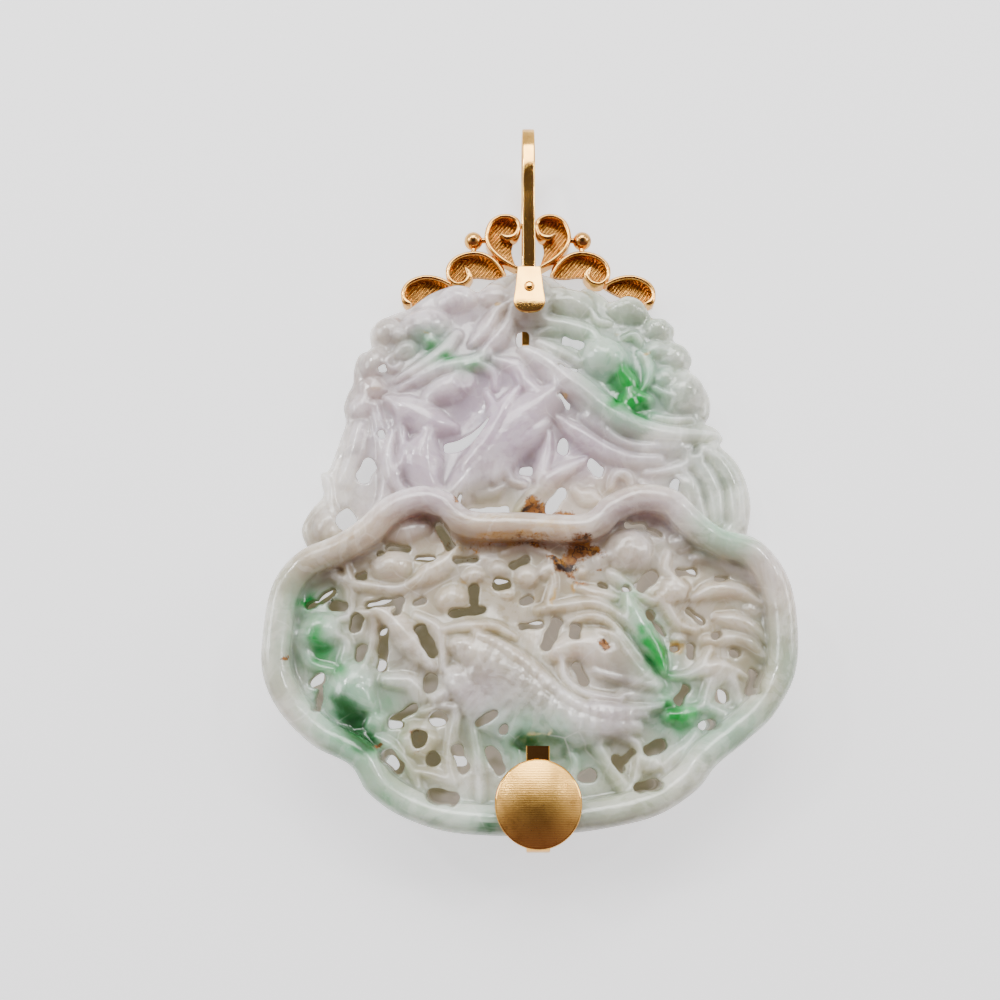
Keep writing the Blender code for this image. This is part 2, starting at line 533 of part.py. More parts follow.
def fitting_cutters():
    """The seats of the gold in the jade, and everything behind the flat back."""
    gap = JOINT_GAP
    beyond = 5.0
    tongue_back = TONGUE_FACE - STRIP_THICK
    half_tongue = TONGUE_LOW_WIDE / 2 + gap
    half_strip = STRIP_WIDE / 2 + gap
    clip_left = FOOT_ACROSS - CLIP_WIDE / 2 - gap
    clip_right = FOOT_ACROSS + CLIP_WIDE / 2 + gap
    top_edge = [(-20.0, 64.6), (-14.0, 65.6), (-8.0, 67.6), (0.0, 68.6), (8.0, 67.4),
                (14.0, 65.4), (20.0, 63.6), (20.0, 85.0), (-20.0, 85.0)]
    return [
        box((-40.0, -10.0, -beyond), (40.0, 80.0, 0.0)),
        box((-half_tongue, TONGUE_LOW - gap, tongue_back - gap),
            (half_tongue, TONGUE_HIGH + beyond, TONGUE_FACE + beyond)),
        box((-half_strip, STRAP_END - gap, -beyond),
            (half_strip, TONGUE_HIGH + beyond, STRIP_THICK + 2 * gap)),
        drum(0.0, RIVET_UP, -1.0, TONGUE_FACE, RIVET_WIDE / 2 + gap, 12),
        plate("gallery_seat", top_edge, -beyond, GALLERY_BACK + GALLERY_TALL + gap,
              smooth_steps=0),
        side_strip("clip_seat", clip_path(), CLIP_WIDE + 2 * gap, CLIP_THICK + 2 * gap,
                   FOOT_ACROSS),
        box((clip_left, -beyond, CLIP_FACE - CLIP_THICK - gap),
            (clip_right, CLIP_HIGH + gap, CLIP_FACE + beyond)),
        box((clip_left, -beyond, -beyond),
            (clip_right, CLIP_BACK_HIGH + gap, CLIP_THICK + 2 * gap)),
        drum(FOOT_ACROSS, BUTTON_UP, CLIP_FACE - POST_DEEP - gap, CLIP_FACE + beyond,
             POST_RADIUS + gap, 16)]


def bail_path():
    """The middle of the strip from its end behind the jade, over the loop, to the front."""
    half = STRIP_THICK / 2
    front = TONGUE_FACE - half
    back = JOINT_GAP + half
    leg = LOOP_DEEP - half
    deep = leg - back
    tall = LOOP_TOP - half - TONGUE_HIGH
    loop = [(0.35, back + 0.012 * deep), (0.7, back + 0.085 * deep),
            (0.91, back + 0.314 * deep), (1.0, back + 0.628 * deep),
            (0.945, leg - 0.109 * deep), (0.77, leg), (0.5, leg - 0.06 * deep),
            (0.2, front + 0.048 * deep)]
    return ([(STRAP_END, back), (TONGUE_HIGH, back)]
            + [(TONGUE_HIGH + share * tall, depth) for share, depth in loop]
            + [(TONGUE_HIGH, front), (RIVET_UP + RIVET_HEAD / 2, front)])


def make_bail(parts, cutters, material):
    """A strip bent over to a loop, widened to a tongue in front of the jade."""
    tongue_back = TONGUE_FACE - STRIP_THICK
    low = TONGUE_LOW_WIDE / 2
    high = TONGUE_HIGH_WIDE / 2
    corner = [(1.0, 0.0), (0.45, 0.2), (0.15, 0.7)]
    right = [(low - TONGUE_ROUND * side, TONGUE_LOW + TONGUE_ROUND * rise)
             for rise, side in corner]
    left = [(-across, up) for across, up in reversed(right)]
    tongue = ([(-high, TONGUE_HIGH), (high, TONGUE_HIGH)] + right + [(0.0, TONGUE_LOW)]
              + left)
    bail = join("bail", [
        side_strip("loop", bail_path(), STRIP_WIDE, STRIP_THICK),
        plate("tongue", tongue, tongue_back, TONGUE_FACE, 0.12, smooth_steps=0,
              edge_steps=0)], parts, cutters, material)
    hole = drum(0.0, RIVET_UP, -1.0, LOOP_DEEP, RIVET_WIDE / 2 + JOINT_GAP, 12)
    combine(bail, "drill", "DIFFERENCE", add_cutters("rivet_hole", [hole], cutters))
    return bail


def make_rivet(parts, material):
    seat = TONGUE_FACE + JOINT_GAP
    profile = [(0.0, seat + RIVET_DOME), (RIVET_HEAD * 0.28, seat + RIVET_DOME * 0.85),
               (RIVET_HEAD / 2, seat + RIVET_DOME * 0.3), (RIVET_HEAD / 2, seat),
               (RIVET_WIDE / 2, seat), (RIVET_WIDE / 2, JOINT_GAP), (0.0, JOINT_GAP)]
    return turned("rivet", profile, 0.0, RIVET_UP, 12, parts, material)


def mirrored(points):
    return [(-across, up) for across, up in reversed(points)]


def make_gallery(parts, cutters, material):
    """Three pairs of scrolls with floors and two balls, all soldered together."""
    floor_low = GALLERY_BACK + 0.1
    floor_high = floor_low + FLOOR_THICK
    middle = GALLERY_BACK + GALLERY_TALL / 2
    thick = 0.36
    links = [
        [(-1.6, 71.1), (1.6, 71.1)], [(-1.5, 77.4), (1.5, 77.4)],
        [(-4.5, 73.6), (-3.3, 71.0)], [(-10.1, 69.8), (-10.0, 68.9)],
        [(-7.0, 73.2), (-7.0, 74.9)],
        [(-5.2, 75.4), (-BALL_ACROSS, BALL_UP)]]
    pieces = []
    for index, link in enumerate(links):
        whole = [link] if index < 2 else [link, mirrored(link)]
        for run in whole:
            ends = [(across, up, thick) for across, up in run]
            pieces.append(stroke("link", middle + thick, ends, sides=1, smooth_steps=0))
    scrolls = [(UPPER_SCROLL, UPPER_FLOOR), (MIDDLE_SCROLL, MIDDLE_FLOOR),
               (OUTER_SCROLL, OUTER_FLOOR)]
    for path, floor in scrolls:
        for points, area in ((path, floor), (mirrored(path), mirrored(floor))):
            pieces.append(wire("scroll", points))
            pieces.append(plate("floor", area, floor_low, floor_high, smooth_steps=1))
    for side in (-1, 1):
        pieces.append(lump(side * BALL_ACROSS, BALL_UP, middle + BALL_RADIUS, BALL_RADIUS,
                           BALL_RADIUS, 0, BALL_RADIUS))
    return join("scroll_gallery", pieces, parts, cutters, material)


def clip_path():
    """The middle of the clip's strip, from under the button round the foot to the back."""
    front = CLIP_FACE - CLIP_THICK / 2
    back = JOINT_GAP + CLIP_THICK / 2
    bend = CLIP_BEND
    low = CLIP_LOW
    return [(CLIP_HIGH, front), (low + 4.6 * bend, front), (low + 3.1 * bend, front),
            (low + bend, front - 0.55 * bend), (low + 0.05 * bend, front - 2.2 * bend),
            (low, (front + back) / 2),
            (low + 0.05 * bend, back + 1.7 * bend), (low + bend, back + 0.32 * bend),
            (low + 2.6 * bend, back), (CLIP_BACK_HIGH, back)]


def make_clip(parts, cutters, material):
    """A strip bent round the foot of the jade."""
    strip = side_strip("rim_clip", clip_path(), CLIP_WIDE, CLIP_THICK, FOOT_ACROSS)
    strip.materials.append(material)
    clip = add_object("rim_clip", strip, parts)
    hole = drum(FOOT_ACROSS, BUTTON_UP, CLIP_FACE - 2 * CLIP_THICK, CLIP_FACE + CLIP_THICK,
                POST_RADIUS + JOINT_GAP, 16)
    combine(clip, "drill", "DIFFERENCE", add_cutters("post_hole", [hole], cutters))
    return clip


def make_button(parts, material):
    back = CLIP_FACE + JOINT_GAP
    face = back + BUTTON_THICK
    end = back - POST_DEEP
    profile = [(0.0, face + BUTTON_DOME), (BUTTON_RADIUS * 0.45, face + BUTTON_DOME * 0.8),
               (BUTTON_RADIUS * 0.8, face + BUTTON_DOME * 0.35),
               (BUTTON_RADIUS - BUTTON_EDGE, face), (BUTTON_RADIUS, face - BUTTON_EDGE),
               (BUTTON_RADIUS, back), (POST_RADIUS, back), (POST_RADIUS, end), (0.0, end)]
    return turned("button", profile, FOOT_ACROSS, BUTTON_UP, 28, parts, material)


clear_scene()
BENCH = bpy.data.scenes.new("bench")     # curves are made into meshes here, out of the way
PARTS = make_collection("pierced_jade_pendant")
CUTTERS = make_collection("cutters")
JADE = make_material("jade", (0.62, 0.60, 0.56), 0.25, 0.0)
GOLD = make_material("gold", (0.80, 0.52, 0.25), 0.25, 1.0)
shade_round(make_jade(PARTS, CUTTERS, JADE), 50)
shade_round(make_bail(PARTS, CUTTERS, GOLD), 40)
shade_round(make_gallery(PARTS, CUTTERS, GOLD), 40)
shade_round(make_clip(PARTS, CUTTERS, GOLD), 40)
make_rivet(PARTS, GOLD)
make_button(PARTS, GOLD)
bpy.data.scenes.remove(BENCH)
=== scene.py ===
# The looks of the carved jade pendant: stone, gold, floor, light and camera.
import math

import bmesh
import bpy
import numpy as np
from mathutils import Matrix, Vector


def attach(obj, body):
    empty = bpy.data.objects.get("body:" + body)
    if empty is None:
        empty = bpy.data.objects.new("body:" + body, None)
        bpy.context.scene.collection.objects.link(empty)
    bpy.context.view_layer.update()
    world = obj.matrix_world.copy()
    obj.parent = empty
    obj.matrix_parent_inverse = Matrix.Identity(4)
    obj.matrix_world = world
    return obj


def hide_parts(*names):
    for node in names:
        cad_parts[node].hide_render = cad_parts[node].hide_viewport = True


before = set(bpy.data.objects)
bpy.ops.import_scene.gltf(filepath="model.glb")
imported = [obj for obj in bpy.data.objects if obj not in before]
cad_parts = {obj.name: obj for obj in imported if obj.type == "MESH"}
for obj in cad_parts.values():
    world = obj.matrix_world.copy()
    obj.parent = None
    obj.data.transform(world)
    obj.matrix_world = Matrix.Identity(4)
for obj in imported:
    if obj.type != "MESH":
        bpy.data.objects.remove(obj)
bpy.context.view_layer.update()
mm = 0.001
middleUp = 44.5  # height on the pendant of the frame's origin, in millimetres

# Places on the stone are in millimetres: across, up from the foot, and half width
stone = {
    "low": (-30.9, 1.3), "high": (30.9, 71.3), "grid": 0.16,
    "deepest": -0.4, "highest": 12.4, "layer": 0.17,
    "plaqueGround": 3.9, "plaqueEdge": 1.1,
    "panelGround": 8.3, "panelEdge": 2.0, "footRound": 2.6, "footHigh": 2.0,
    "rimTop": 11.8, "rimHalf": 1.55, "rimInset": 1.45,
    "drillFrom": (-3.6, 9.32), "drillHigh": 121.0,  # plaque openings widen behind, away from here
    "backWall": 3.3, "cavityTop": 6.3, "sideWall": 3.3,
    "polish": 3,  # passes of smoothing over the relief
    "broad": 110,  # passes of smoothing that leave only the broad forms
    "crispness": (0.38, 0.46),  # share of the fine relief kept, on the plaque and the panel
    "keptTriangles": 190000}

pouchOutline = [
    (2.0, 2.3), (-4.2, 2.2), (-9.6, 2.7), (-14.3, 4.3), (-17.6, 6.6), (-19.6, 9.4),
    (-23.7, 11.5), (-27.4, 15.0), (-29.4, 19.0), (-29.62, 23.5), (-28.8, 28.9),
    (-26.2, 32.4), (-22.2, 34.3), (-19.4, 36.2), (-16.6, 38.8), (-12.6, 40.1),
    (-9.2, 39.2), (-6.8, 37.2), (-1.0, 37.0), (5.7, 36.8), (8.4, 38.8), (12.3, 40.3),
    (16.4, 39.6), (19.1, 37.0), (21.5, 35.1), (25.4, 33.8), (28.2, 30.2), (29.1, 25.4),
    (28.6, 19.4), (26.0, 14.8), (22.9, 12.0), (19.5, 9.4), (17.2, 6.8), (13.1, 4.3),
    (7.8, 3.0)]

plaqueOutline = [
    (-22.6, 30.0), (-26.1, 33.8), (-27.4, 36.6), (-26.3, 39.2), (-25.0, 40.8), (-25.2, 42.2),
    (-25.4, 43.6), (-24.5, 44.0), (-23.9, 45.6), (-23.1, 48.4), (-22.6, 50.2), (-22.9, 52.0),
    (-22.5, 53.8), (-21.9, 55.2), (-21.8, 57.2), (-21.2, 59.0), (-19.8, 59.9), (-20.1, 61.6),
    (-19.3, 63.2), (-17.0, 64.6), (-15.0, 65.4), (-12.5, 67.3), (-9.6, 68.4), (-7.6, 68.2),
    (-6.3, 67.5), (-4.9, 68.9), (-2.7, 69.9), (0.0, 70.2), (2.7, 69.7), (4.1, 68.6),
    (6.0, 67.6), (7.4, 68.1), (9.2, 67.2), (10.7, 66.0), (12.5, 66.7), (14.6, 65.9),
    (15.6, 63.9), (17.0, 63.8), (18.4, 62.6), (18.2, 60.9), (19.7, 59.9), (20.4, 58.4),
    (20.1, 56.9), (21.5, 55.2), (22.4, 53.0), (22.2, 51.0), (21.6, 50.0), (22.9, 49.3),
    (23.7, 48.0), (23.3, 47.1), (24.9, 45.4), (26.2, 42.8), (26.6, 39.4), (26.0, 36.2),
    (25.0, 33.0), (22.6, 30.0), (0.0, 28.0)]

# Ways of carving: how far the crown falls to its edge, and what runs over it
manners = {
    "round": {"fall": 0.85},
    "wing": {"fall": 0.9, "lines": [(-0.66, 0.3, 0.22), (-0.25, 0.3, 0.22), (0.16, 0.3, 0.22),
                                    (0.56, 0.3, 0.22)]},
    "soft": {"fall": 0.6, "moat": 0.5, "cut": 0.2},
    "thread": {"fall": 0.35, "moat": 0.25, "cut": 0.15},
    "leaf": {"fall": 0.7, "lines": [(0.0, 0.34, 0.16)], "ribs": (1.1, 0.16, 0.9)},
    "double": {"fall": 0.8, "lines": [(-0.33, 0.32, 0.2), (0.38, 0.32, 0.2)]},
    "strands": {"fall": 0.8, "lines": [(-0.55, 0.3, 0.17), (0.0, 0.32, 0.17), (0.55, 0.3, 0.17)]},
    "feather": {"fall": 0.75, "lines": [(0.0, 0.28, 0.15)], "ribs": (0.75, 0.2, 1.1)},
    "scaled": {"fall": 0.9, "scales": (1.3, 0.55)},
    "beaded": {"fall": 0.6, "ribs": (0.95, 0.5, 0.0)}}

# Openings of the front panel: across, up, length, width, turn in degrees
panelHoles = [
    (-23.3, 27.9, 2.6, 1.1, 38), (-21.9, 26.8, 2.4, 1.4, -8), (-24.9, 26.9, 1.5, 0.9, 25),
    (-19.75, 24.85, 2.2, 1.5, 78), (-19.2, 21.5, 2.05, 1.4, 75), (-16.6, 27.1, 4.4, 1.2, 10),
    (-15.1, 26.3, 1.6, 0.9, 70), (-12.75, 27.3, 1.6, 0.9, 18), (-17.2, 32.7, 0.9, 0.7, 0),
    (-15.3, 33.4, 2.9, 0.9, -5), (-12.1, 32.15, 2.4, 0.9, -2), (-9.9, 34.85, 3.9, 1.15, -62),
    (-7.5, 32.05, 3.0, 0.8, 5), (-19.4, 30.1, 1.5, 1.0, 10), (-16.7, 21.9, 5.0, 1.15, 87),
    (-11.8, 22.8, 4.2, 1.3, -62), (-11.3, 18.15, 2.5, 1.5, 85), (-6.6, 28.1, 2.6, 1.2, 90),
    (-7.3, 26.1, 4.4, 1.15, 8), (-3.4, 29.3, 2.3, 1.35, 0), (-0.65, 27.45, 1.6, 1.2, 20),
    (-1.35, 31.7, 2.5, 1.0, 25), (0.0, 24.55, 3.0, 0.85, 8), (2.2, 23.6, 4.2, 1.25, 66),
    (4.8, 23.8, 2.1, 1.25, 80), (5.3, 19.1, 2.9, 1.15, -65), (10.7, 28.7, 1.15, 1.05, 0),
    (13.1, 29.65, 3.6, 1.4, 42), (13.3, 25.6, 1.4, 1.2, 70), (14.2, 24.2, 2.6, 0.7, -52),
    (17.65, 30.6, 2.6, 0.95, 0), (18.4, 25.5, 2.6, 0.9, -40), (12.1, 36.1, 2.8, 0.9, -5),
    (14.2, 35.3, 2.2, 0.7, -25), (16.0, 22.05, 1.2, 0.7, 15), (17.7, 21.7, 1.8, 1.1, 85),
    (22.7, 21.5, 1.3, 1.15, 0), (20.95, 16.7, 1.8, 1.4, -12), (24.4, 18.3, 3.2, 1.1, 75),
    (16.5, 16.85, 2.7, 1.0, 56), (19.2, 13.6, 2.1, 1.15, 12), (13.4, 11.2, 3.0, 1.3, 22),
    (9.3, 9.5, 2.1, 1.1, -60), (10.3, 10.3, 2.0, 0.8, 43), (12.3, 7.15, 3.0, 1.15, 10),
    (5.9, 8.2, 2.1, 1.6, 10), (-23.85, 18.4, 2.2, 1.3, 35), (-23.65, 16.4, 3.0, 0.8, 85),
    (-14.3, 14.8, 3.8, 1.0, 30), (-15.0, 13.6, 1.7, 0.8, 0), (-10.4, 14.3, 2.2, 1.7, -5),
    (-12.4, 12.1, 2.1, 1.7, 90), (-15.3, 9.8, 3.2, 1.5, -45), (-10.9, 10.0, 1.8, 1.45, 10),
    (-7.9, 10.0, 3.4, 1.2, -68), (-4.1, 9.9, 3.4, 1.4, -62), (-9.8, 6.0, 3.6, 1.5, -10),
    (-5.05, 14.3, 2.8, 1.0, 30), (-3.1, 13.15, 1.2, 1.0, 60), (20.6, 23.4, 1.6, 0.7, 30),
    (8.1, 29.1, 1.4, 0.6, -20), (21.6, 29.9, 1.8, 0.6, 4)]

# Openings of the wall behind, which let the light through
backHoles = [
    (-24.6, 29.2, 3.0, 1.5, 38), (-17.9, 28.3, 3.2, 1.3, 15), (-18.1, 34.3, 1.4, 1.2, 0),
    (-12.6, 33.7, 3.2, 1.4, 0), (-3.4, 30.8, 2.0, 1.2, 0), (-17.5, 24.9, 1.6, 1.6, 20),
    (-17.7, 20.6, 1.8, 1.5, 20), (0.3, 25.8, 2.4, 0.9, 0), (11.7, 30.0, 1.8, 1.8, 0),
    (19.4, 32.0, 2.0, 1.4, 0), (20.0, 26.6, 3.2, 1.3, -40), (22.7, 17.2, 2.4, 1.9, 0),
    (19.7, 13.9, 1.6, 1.5, 0), (-25.2, 19.0, 2.8, 1.7, 35), (-15.9, 13.8, 2.2, 1.1, 0),
    (-11.0, 14.0, 2.4, 1.2, 0), (-15.9, 9.5, 1.6, 1.8, 0), (-8.4, 9.8, 2.0, 1.2, 0),
    (6.3, 31.4, 2.2, 1.6, 0), (12.9, 22.2, 2.6, 1.6, 50), (-9.3, 22.4, 2.6, 1.6, -40),
    (8.9, 12.6, 2.6, 1.6, 30), (3.3, 17.6, 2.4, 1.6, 0), (-4.9, 18.0, 2.4, 1.6, 20)]

plaqueHoles = [
    (-18.0, 48.2, 0.95, 0.8, 0), (-19.65, 43.7, 3.0, 1.5, 62), (-21.9, 37.6, 2.4, 2.2, 60),
    (-21.6, 36.6, 1.8, 1.2, 110), (-0.75, 60.4, 1.8, 1.6, 90), (5.5, 60.05, 2.9, 0.65, -18),
    (4.7, 56.45, 2.5, 0.4, -16), (4.2, 52.4, 2.0, 0.45, -50), (3.97, 46.7, 1.65, 1.4, 90),
    (7.8, 44.0, 2.5, 0.9, -50), (8.2, 43.6, 1.4, 0.7, 0), (17.2, 41.55, 1.9, 1.0, 80),
    (-0.5, 43.55, 1.6, 0.7, 0), (3.0, 39.9, 3.4, 1.3, 52), (-5.0, 38.5, 4.9, 0.85, 5),
    (-8.5, 39.95, 1.3, 0.5, 70), (-18.1, 56.6, 1.1, 0.5, 20)]

# The long opening below the bird's head narrows to a point
crescent = [(-4.9, 50.3, 0.08), (-5.6, 49.2, 0.22), (-6.8, 47.9, 0.38), (-8.5, 46.8, 0.5),
            (-10.0, 46.45, 0.42)]

# Carved ridges of the plaque: manner, top, points
plaqueRuns = [
    ("soft", 5.4, [(-20.6, 49.4, 0.9), (-21.2, 46.0, 1.1), (-22.3, 42.4, 1.0)]),
    ("soft", 5.2, [(-18.9, 52.0, 0.7), (-17.7, 46.5, 0.8), (-17.4, 41.0, 0.9), (-18.6, 38.0, 0.7)]),
    ("round", 5.6, [(-16.2, 51.6, 0.5), (-15.3, 47.0, 0.6), (-15.9, 42.2, 0.6), (-15.2, 40.3, 0.4)]),
    ("soft", 5.0, [(-25.0, 43.6, 0.25), (-24.2, 42.2, 0.5), (-24.0, 40.2, 0.6), (-23.4, 38.9, 0.5)]),
    ("feather", 6.6, [(3.4, 53.4, 1.6), (0.0, 50.6, 2.8), (-3.6, 46.6, 3.1), (-6.9, 42.8, 2.5),
                      (-9.6, 39.7, 1.2)]),
    ("soft", 6.7, [(2.2, 49.4, 0.5), (0.2, 47.4, 0.9), (-2.2, 45.2, 0.9), (-4.2, 42.4, 0.6)]),
    ("soft", 6.9, [(-1.6, 53.8, 0.5), (-3.6, 51.0, 1.0), (-5.6, 47.4, 1.0), (-8.0, 44.0, 0.6)]),
    ("round", 6.4, [(-5.2, 53.6, 0.4), (-4.4, 51.4, 0.6), (-5.2, 49.6, 0.4)]),
    ("wing", 6.5, [(-17.4, 52.8, 0.5), (-14.6, 51.2, 1.9), (-11.6, 49.6, 1.8), (-9.2, 49.2, 0.6)]),
    ("wing", 6.7, [(-12.2, 48.2, 0.8), (-13.0, 45.4, 2.5), (-12.2, 42.0, 1.7), (-10.4, 40.4, 0.8)]),
    ("soft", 6.3, [(-16.6, 48.6, 0.4), (-17.0, 45.2, 0.7), (-16.0, 41.8, 0.8), (-13.4, 39.6, 0.8),
                   (-10.6, 38.8, 0.4)]),
    ("double", 6.5, [(-16.2, 55.3, 0.35), (-13.4, 56.8, 0.8), (-10.6, 58.9, 1.0), (-8.9, 61.3, 0.7)]),
    ("double", 6.3, [(-15.9, 54.2, 0.3), (-13.2, 55.4, 0.7), (-10.2, 56.8, 0.9), (-7.0, 57.6, 0.9),
                     (-4.8, 58.6, 0.5)]),
    ("round", 6.4, [(-7.9, 56.6, 0.3), (-6.0, 57.0, 0.55), (-4.4, 56.0, 0.6), (-4.2, 54.2, 0.4)]),
    ("leaf", 6.4, [(-7.2, 59.8, 0.4), (-5.6, 61.6, 1.1), (-4.2, 63.9, 0.9), (-2.9, 65.0, 0.4)]),
    ("leaf", 6.2, [(-5.8, 58.9, 0.4), (-3.8, 60.4, 1.1), (-2.5, 62.6, 0.8), (-2.3, 64.2, 0.4)]),
    ("soft", 6.1, [(-4.2, 57.8, 0.5), (-1.9, 57.0, 1.0), (-0.6, 55.0, 1.1), (1.0, 53.8, 0.7)]),
    ("double", 6.9, [(-0.6, 59.2, 0.8), (1.4, 57.7, 1.3), (4.0, 55.5, 1.8), (7.0, 53.0, 1.9),
                     (9.8, 50.6, 1.8), (12.8, 49.0, 1.5), (16.4, 48.0, 1.3), (20.0, 47.9, 1.0),
                     (22.7, 48.0, 0.5)]),
    ("beaded", 6.4, [(6.6, 50.4, 0.6), (8.3, 49.0, 0.7), (10.6, 47.3, 0.7), (13.0, 46.5, 0.7),
                     (16.0, 46.3, 0.7), (19.2, 46.2, 0.6)]),
    ("strands", 6.0, [(3.6, 50.2, 0.5), (5.4, 48.6, 1.0), (8.4, 46.4, 1.1), (12.0, 44.9, 1.0),
                      (15.6, 44.9, 0.7)]),
    ("round", 5.9, [(14.0, 43.4, 0.35), (16.0, 43.5, 0.5), (19.0, 44.4, 0.7), (21.6, 46.2, 0.7),
                    (22.6, 47.1, 0.4)]),
    ("feather", 6.0, [(18.6, 45.6, 0.5), (20.6, 44.0, 0.9), (22.0, 41.0, 1.0), (22.2, 37.4, 0.8)]),
    ("strands", 6.1, [(20.8, 46.4, 0.5), (23.0, 44.6, 0.9), (24.4, 41.6, 1.0), (24.6, 37.4, 0.9)]),
    ("strands", 5.8, [(18.2, 43.8, 0.4), (19.4, 41.8, 0.8), (20.0, 39.2, 0.8), (20.6, 36.8, 0.6)]),
    ("leaf", 6.0, [(17.6, 42.9, 0.3), (18.9, 41.2, 0.7), (19.0, 39.4, 0.4)]),
    ("leaf", 6.3, [(6.7, 45.1, 0.3), (4.6, 43.9, 0.8), (2.2, 42.2, 1.1), (0.2, 40.2, 1.0),
                   (-1.6, 38.6, 0.5)]),
    ("leaf", 6.5, [(2.4, 48.4, 0.3), (2.1, 46.0, 0.7), (1.3, 43.6, 0.9), (0.9, 42.2, 0.4)]),
    ("round", 6.0, [(-1.9, 45.8, 0.35), (-2.6, 44.0, 0.5), (-2.2, 42.4, 0.5), (-0.6, 42.0, 0.35)]),
    ("leaf", 5.9, [(-3.0, 41.8, 0.3), (-4.6, 40.6, 0.8), (-6.4, 40.3, 0.5)]),
    ("round", 5.9, [(9.6, 41.6, 0.3), (10.4, 43.2, 0.5), (11.8, 43.1, 0.5), (12.2, 41.9, 0.4)]),
    ("soft", 5.6, [(5.4, 41.4, 0.5), (6.6, 40.2, 0.9), (8.4, 40.0, 0.5)]),
    ("leaf", 5.8, [(13.4, 42.2, 0.3), (14.6, 41.2, 0.7), (16.0, 40.6, 0.4)]),
    ("soft", 6.2, [(1.7, 62.8, 0.7), (4.6, 62.2, 1.2), (7.6, 61.4, 1.0), (8.6, 60.4, 0.5)]),
    ("thread", 6.3, [(1.2, 61.4, 0.25), (2.4, 61.6, 0.35), (3.8, 61.3, 0.25)]),
    ("soft", 6.0, [(1.2, 60.2, 0.5), (2.9, 59.3, 0.9), (5.2, 58.2, 0.7), (6.2, 57.4, 0.4)]),
    ("round", 6.3, [(7.9, 64.4, 0.3), (8.6, 63.0, 0.5), (10.0, 62.8, 0.4)]),
    ("round", 6.4, [(11.7, 60.8, 0.3), (13.1, 61.2, 0.5), (13.9, 60.2, 0.4)]),
    ("leaf", 6.6, [(13.6, 58.8, 0.3), (14.7, 57.2, 0.8), (14.6, 55.2, 0.6), (13.8, 53.8, 0.3)]),
    ("round", 6.4, [(15.3, 54.2, 0.3), (16.6, 53.2, 0.4), (17.5, 52.6, 0.3), (17.2, 51.7, 0.3)]),
    ("thread", 6.3, [(15.2, 50.4, 0.4), (17.4, 50.0, 0.5), (19.8, 50.2, 0.3)]),
    ("round", 6.2, [(-17.2, 58.4, 0.3), (-17.6, 57.2, 0.45), (-16.6, 56.6, 0.4), (-15.9, 57.4, 0.3)])]

# Rounded bosses: across, up, top, half length, half width, turn, petals, curl pitch
plaqueBosses = [
    (-9.0, 66.2, 6.0, 2.7, 1.9, 10, 0, 1.3), (-4.6, 66.6, 6.1, 1.9, 1.7, 0, 0, 0),
    (0.0, 65.9, 7.2, 3.2, 3.6, 0, 0, 0), (5.2, 65.6, 6.1, 3.1, 2.1, -12, 0, 0),
    (12.3, 64.9, 6.0, 2.6, 2.0, -10, 0, 1.6), (16.2, 62.2, 5.9, 1.7, 1.6, 0, 0, 0),
    (18.1, 58.5, 5.9, 1.9, 1.9, -30, 0, 1.5), (18.9, 53.6, 6.3, 3.1, 2.6, 60, 0, 1.8),
    (-12.9, 62.6, 6.3, 3.1, 2.2, 12, 0, 1.25), (-17.6, 62.0, 5.8, 1.9, 1.9, 40, 0, 0),
    (-19.2, 57.6, 5.9, 2.4, 1.6, 80, 0, 0), (-19.3, 54.2, 5.6, 1.8, 1.5, 0, 5, 0),
    (-20.6, 51.9, 5.5, 1.7, 1.3, 60, 0, 0), (-16.1, 61.0, 6.5, 1.05, 0.95, 0, 0, 0.8),
    (-15.4, 59.2, 6.0, 1.6, 1.0, 30, 0, 0), (-12.2, 60.2, 6.4, 1.0, 0.8, 0, 0, 0),
    (9.4, 58.0, 7.0, 3.4, 2.7, -35, 0, 0), (10.2, 57.9, 7.2, 1.7, 1.4, -35, 0, 0.9),
    (11.9, 54.9, 6.9, 1.9, 1.4, -60, 0, 0), (12.4, 52.4, 6.8, 2.0, 1.5, 35, 4, 0),
    (14.2, 52.5, 6.9, 1.1, 0.9, 0, 0, 0.7), (15.6, 59.2, 6.0, 1.5, 1.2, 20, 0, 0),
    (16.6, 55.6, 6.0, 1.5, 1.1, 50, 0, 0), (-10.2, 53.9, 6.9, 3.3, 1.7, 24, 0, 0),
    (-8.2, 55.0, 6.7, 1.7, 1.5, 0, 0, 0), (-24.1, 37.2, 5.7, 2.2, 1.6, 65, 0, 1.4),
    (-23.1, 36.0, 6.0, 0.7, 0.6, 0, 0, 0), (-23.2, 34.6, 5.2, 1.6, 1.0, 20, 0, 0),
    (3.6, 66.9, 6.0, 0.9, 0.8, 0, 0, 0), (-1.8, 57.2, 6.3, 0.9, 0.7, 30, 0, 0),
    (7.0, 40.4, 6.0, 1.4, 1.1, 20, 0, 0), (23.6, 35.8, 5.6, 1.6, 1.2, 60, 0, 0)]

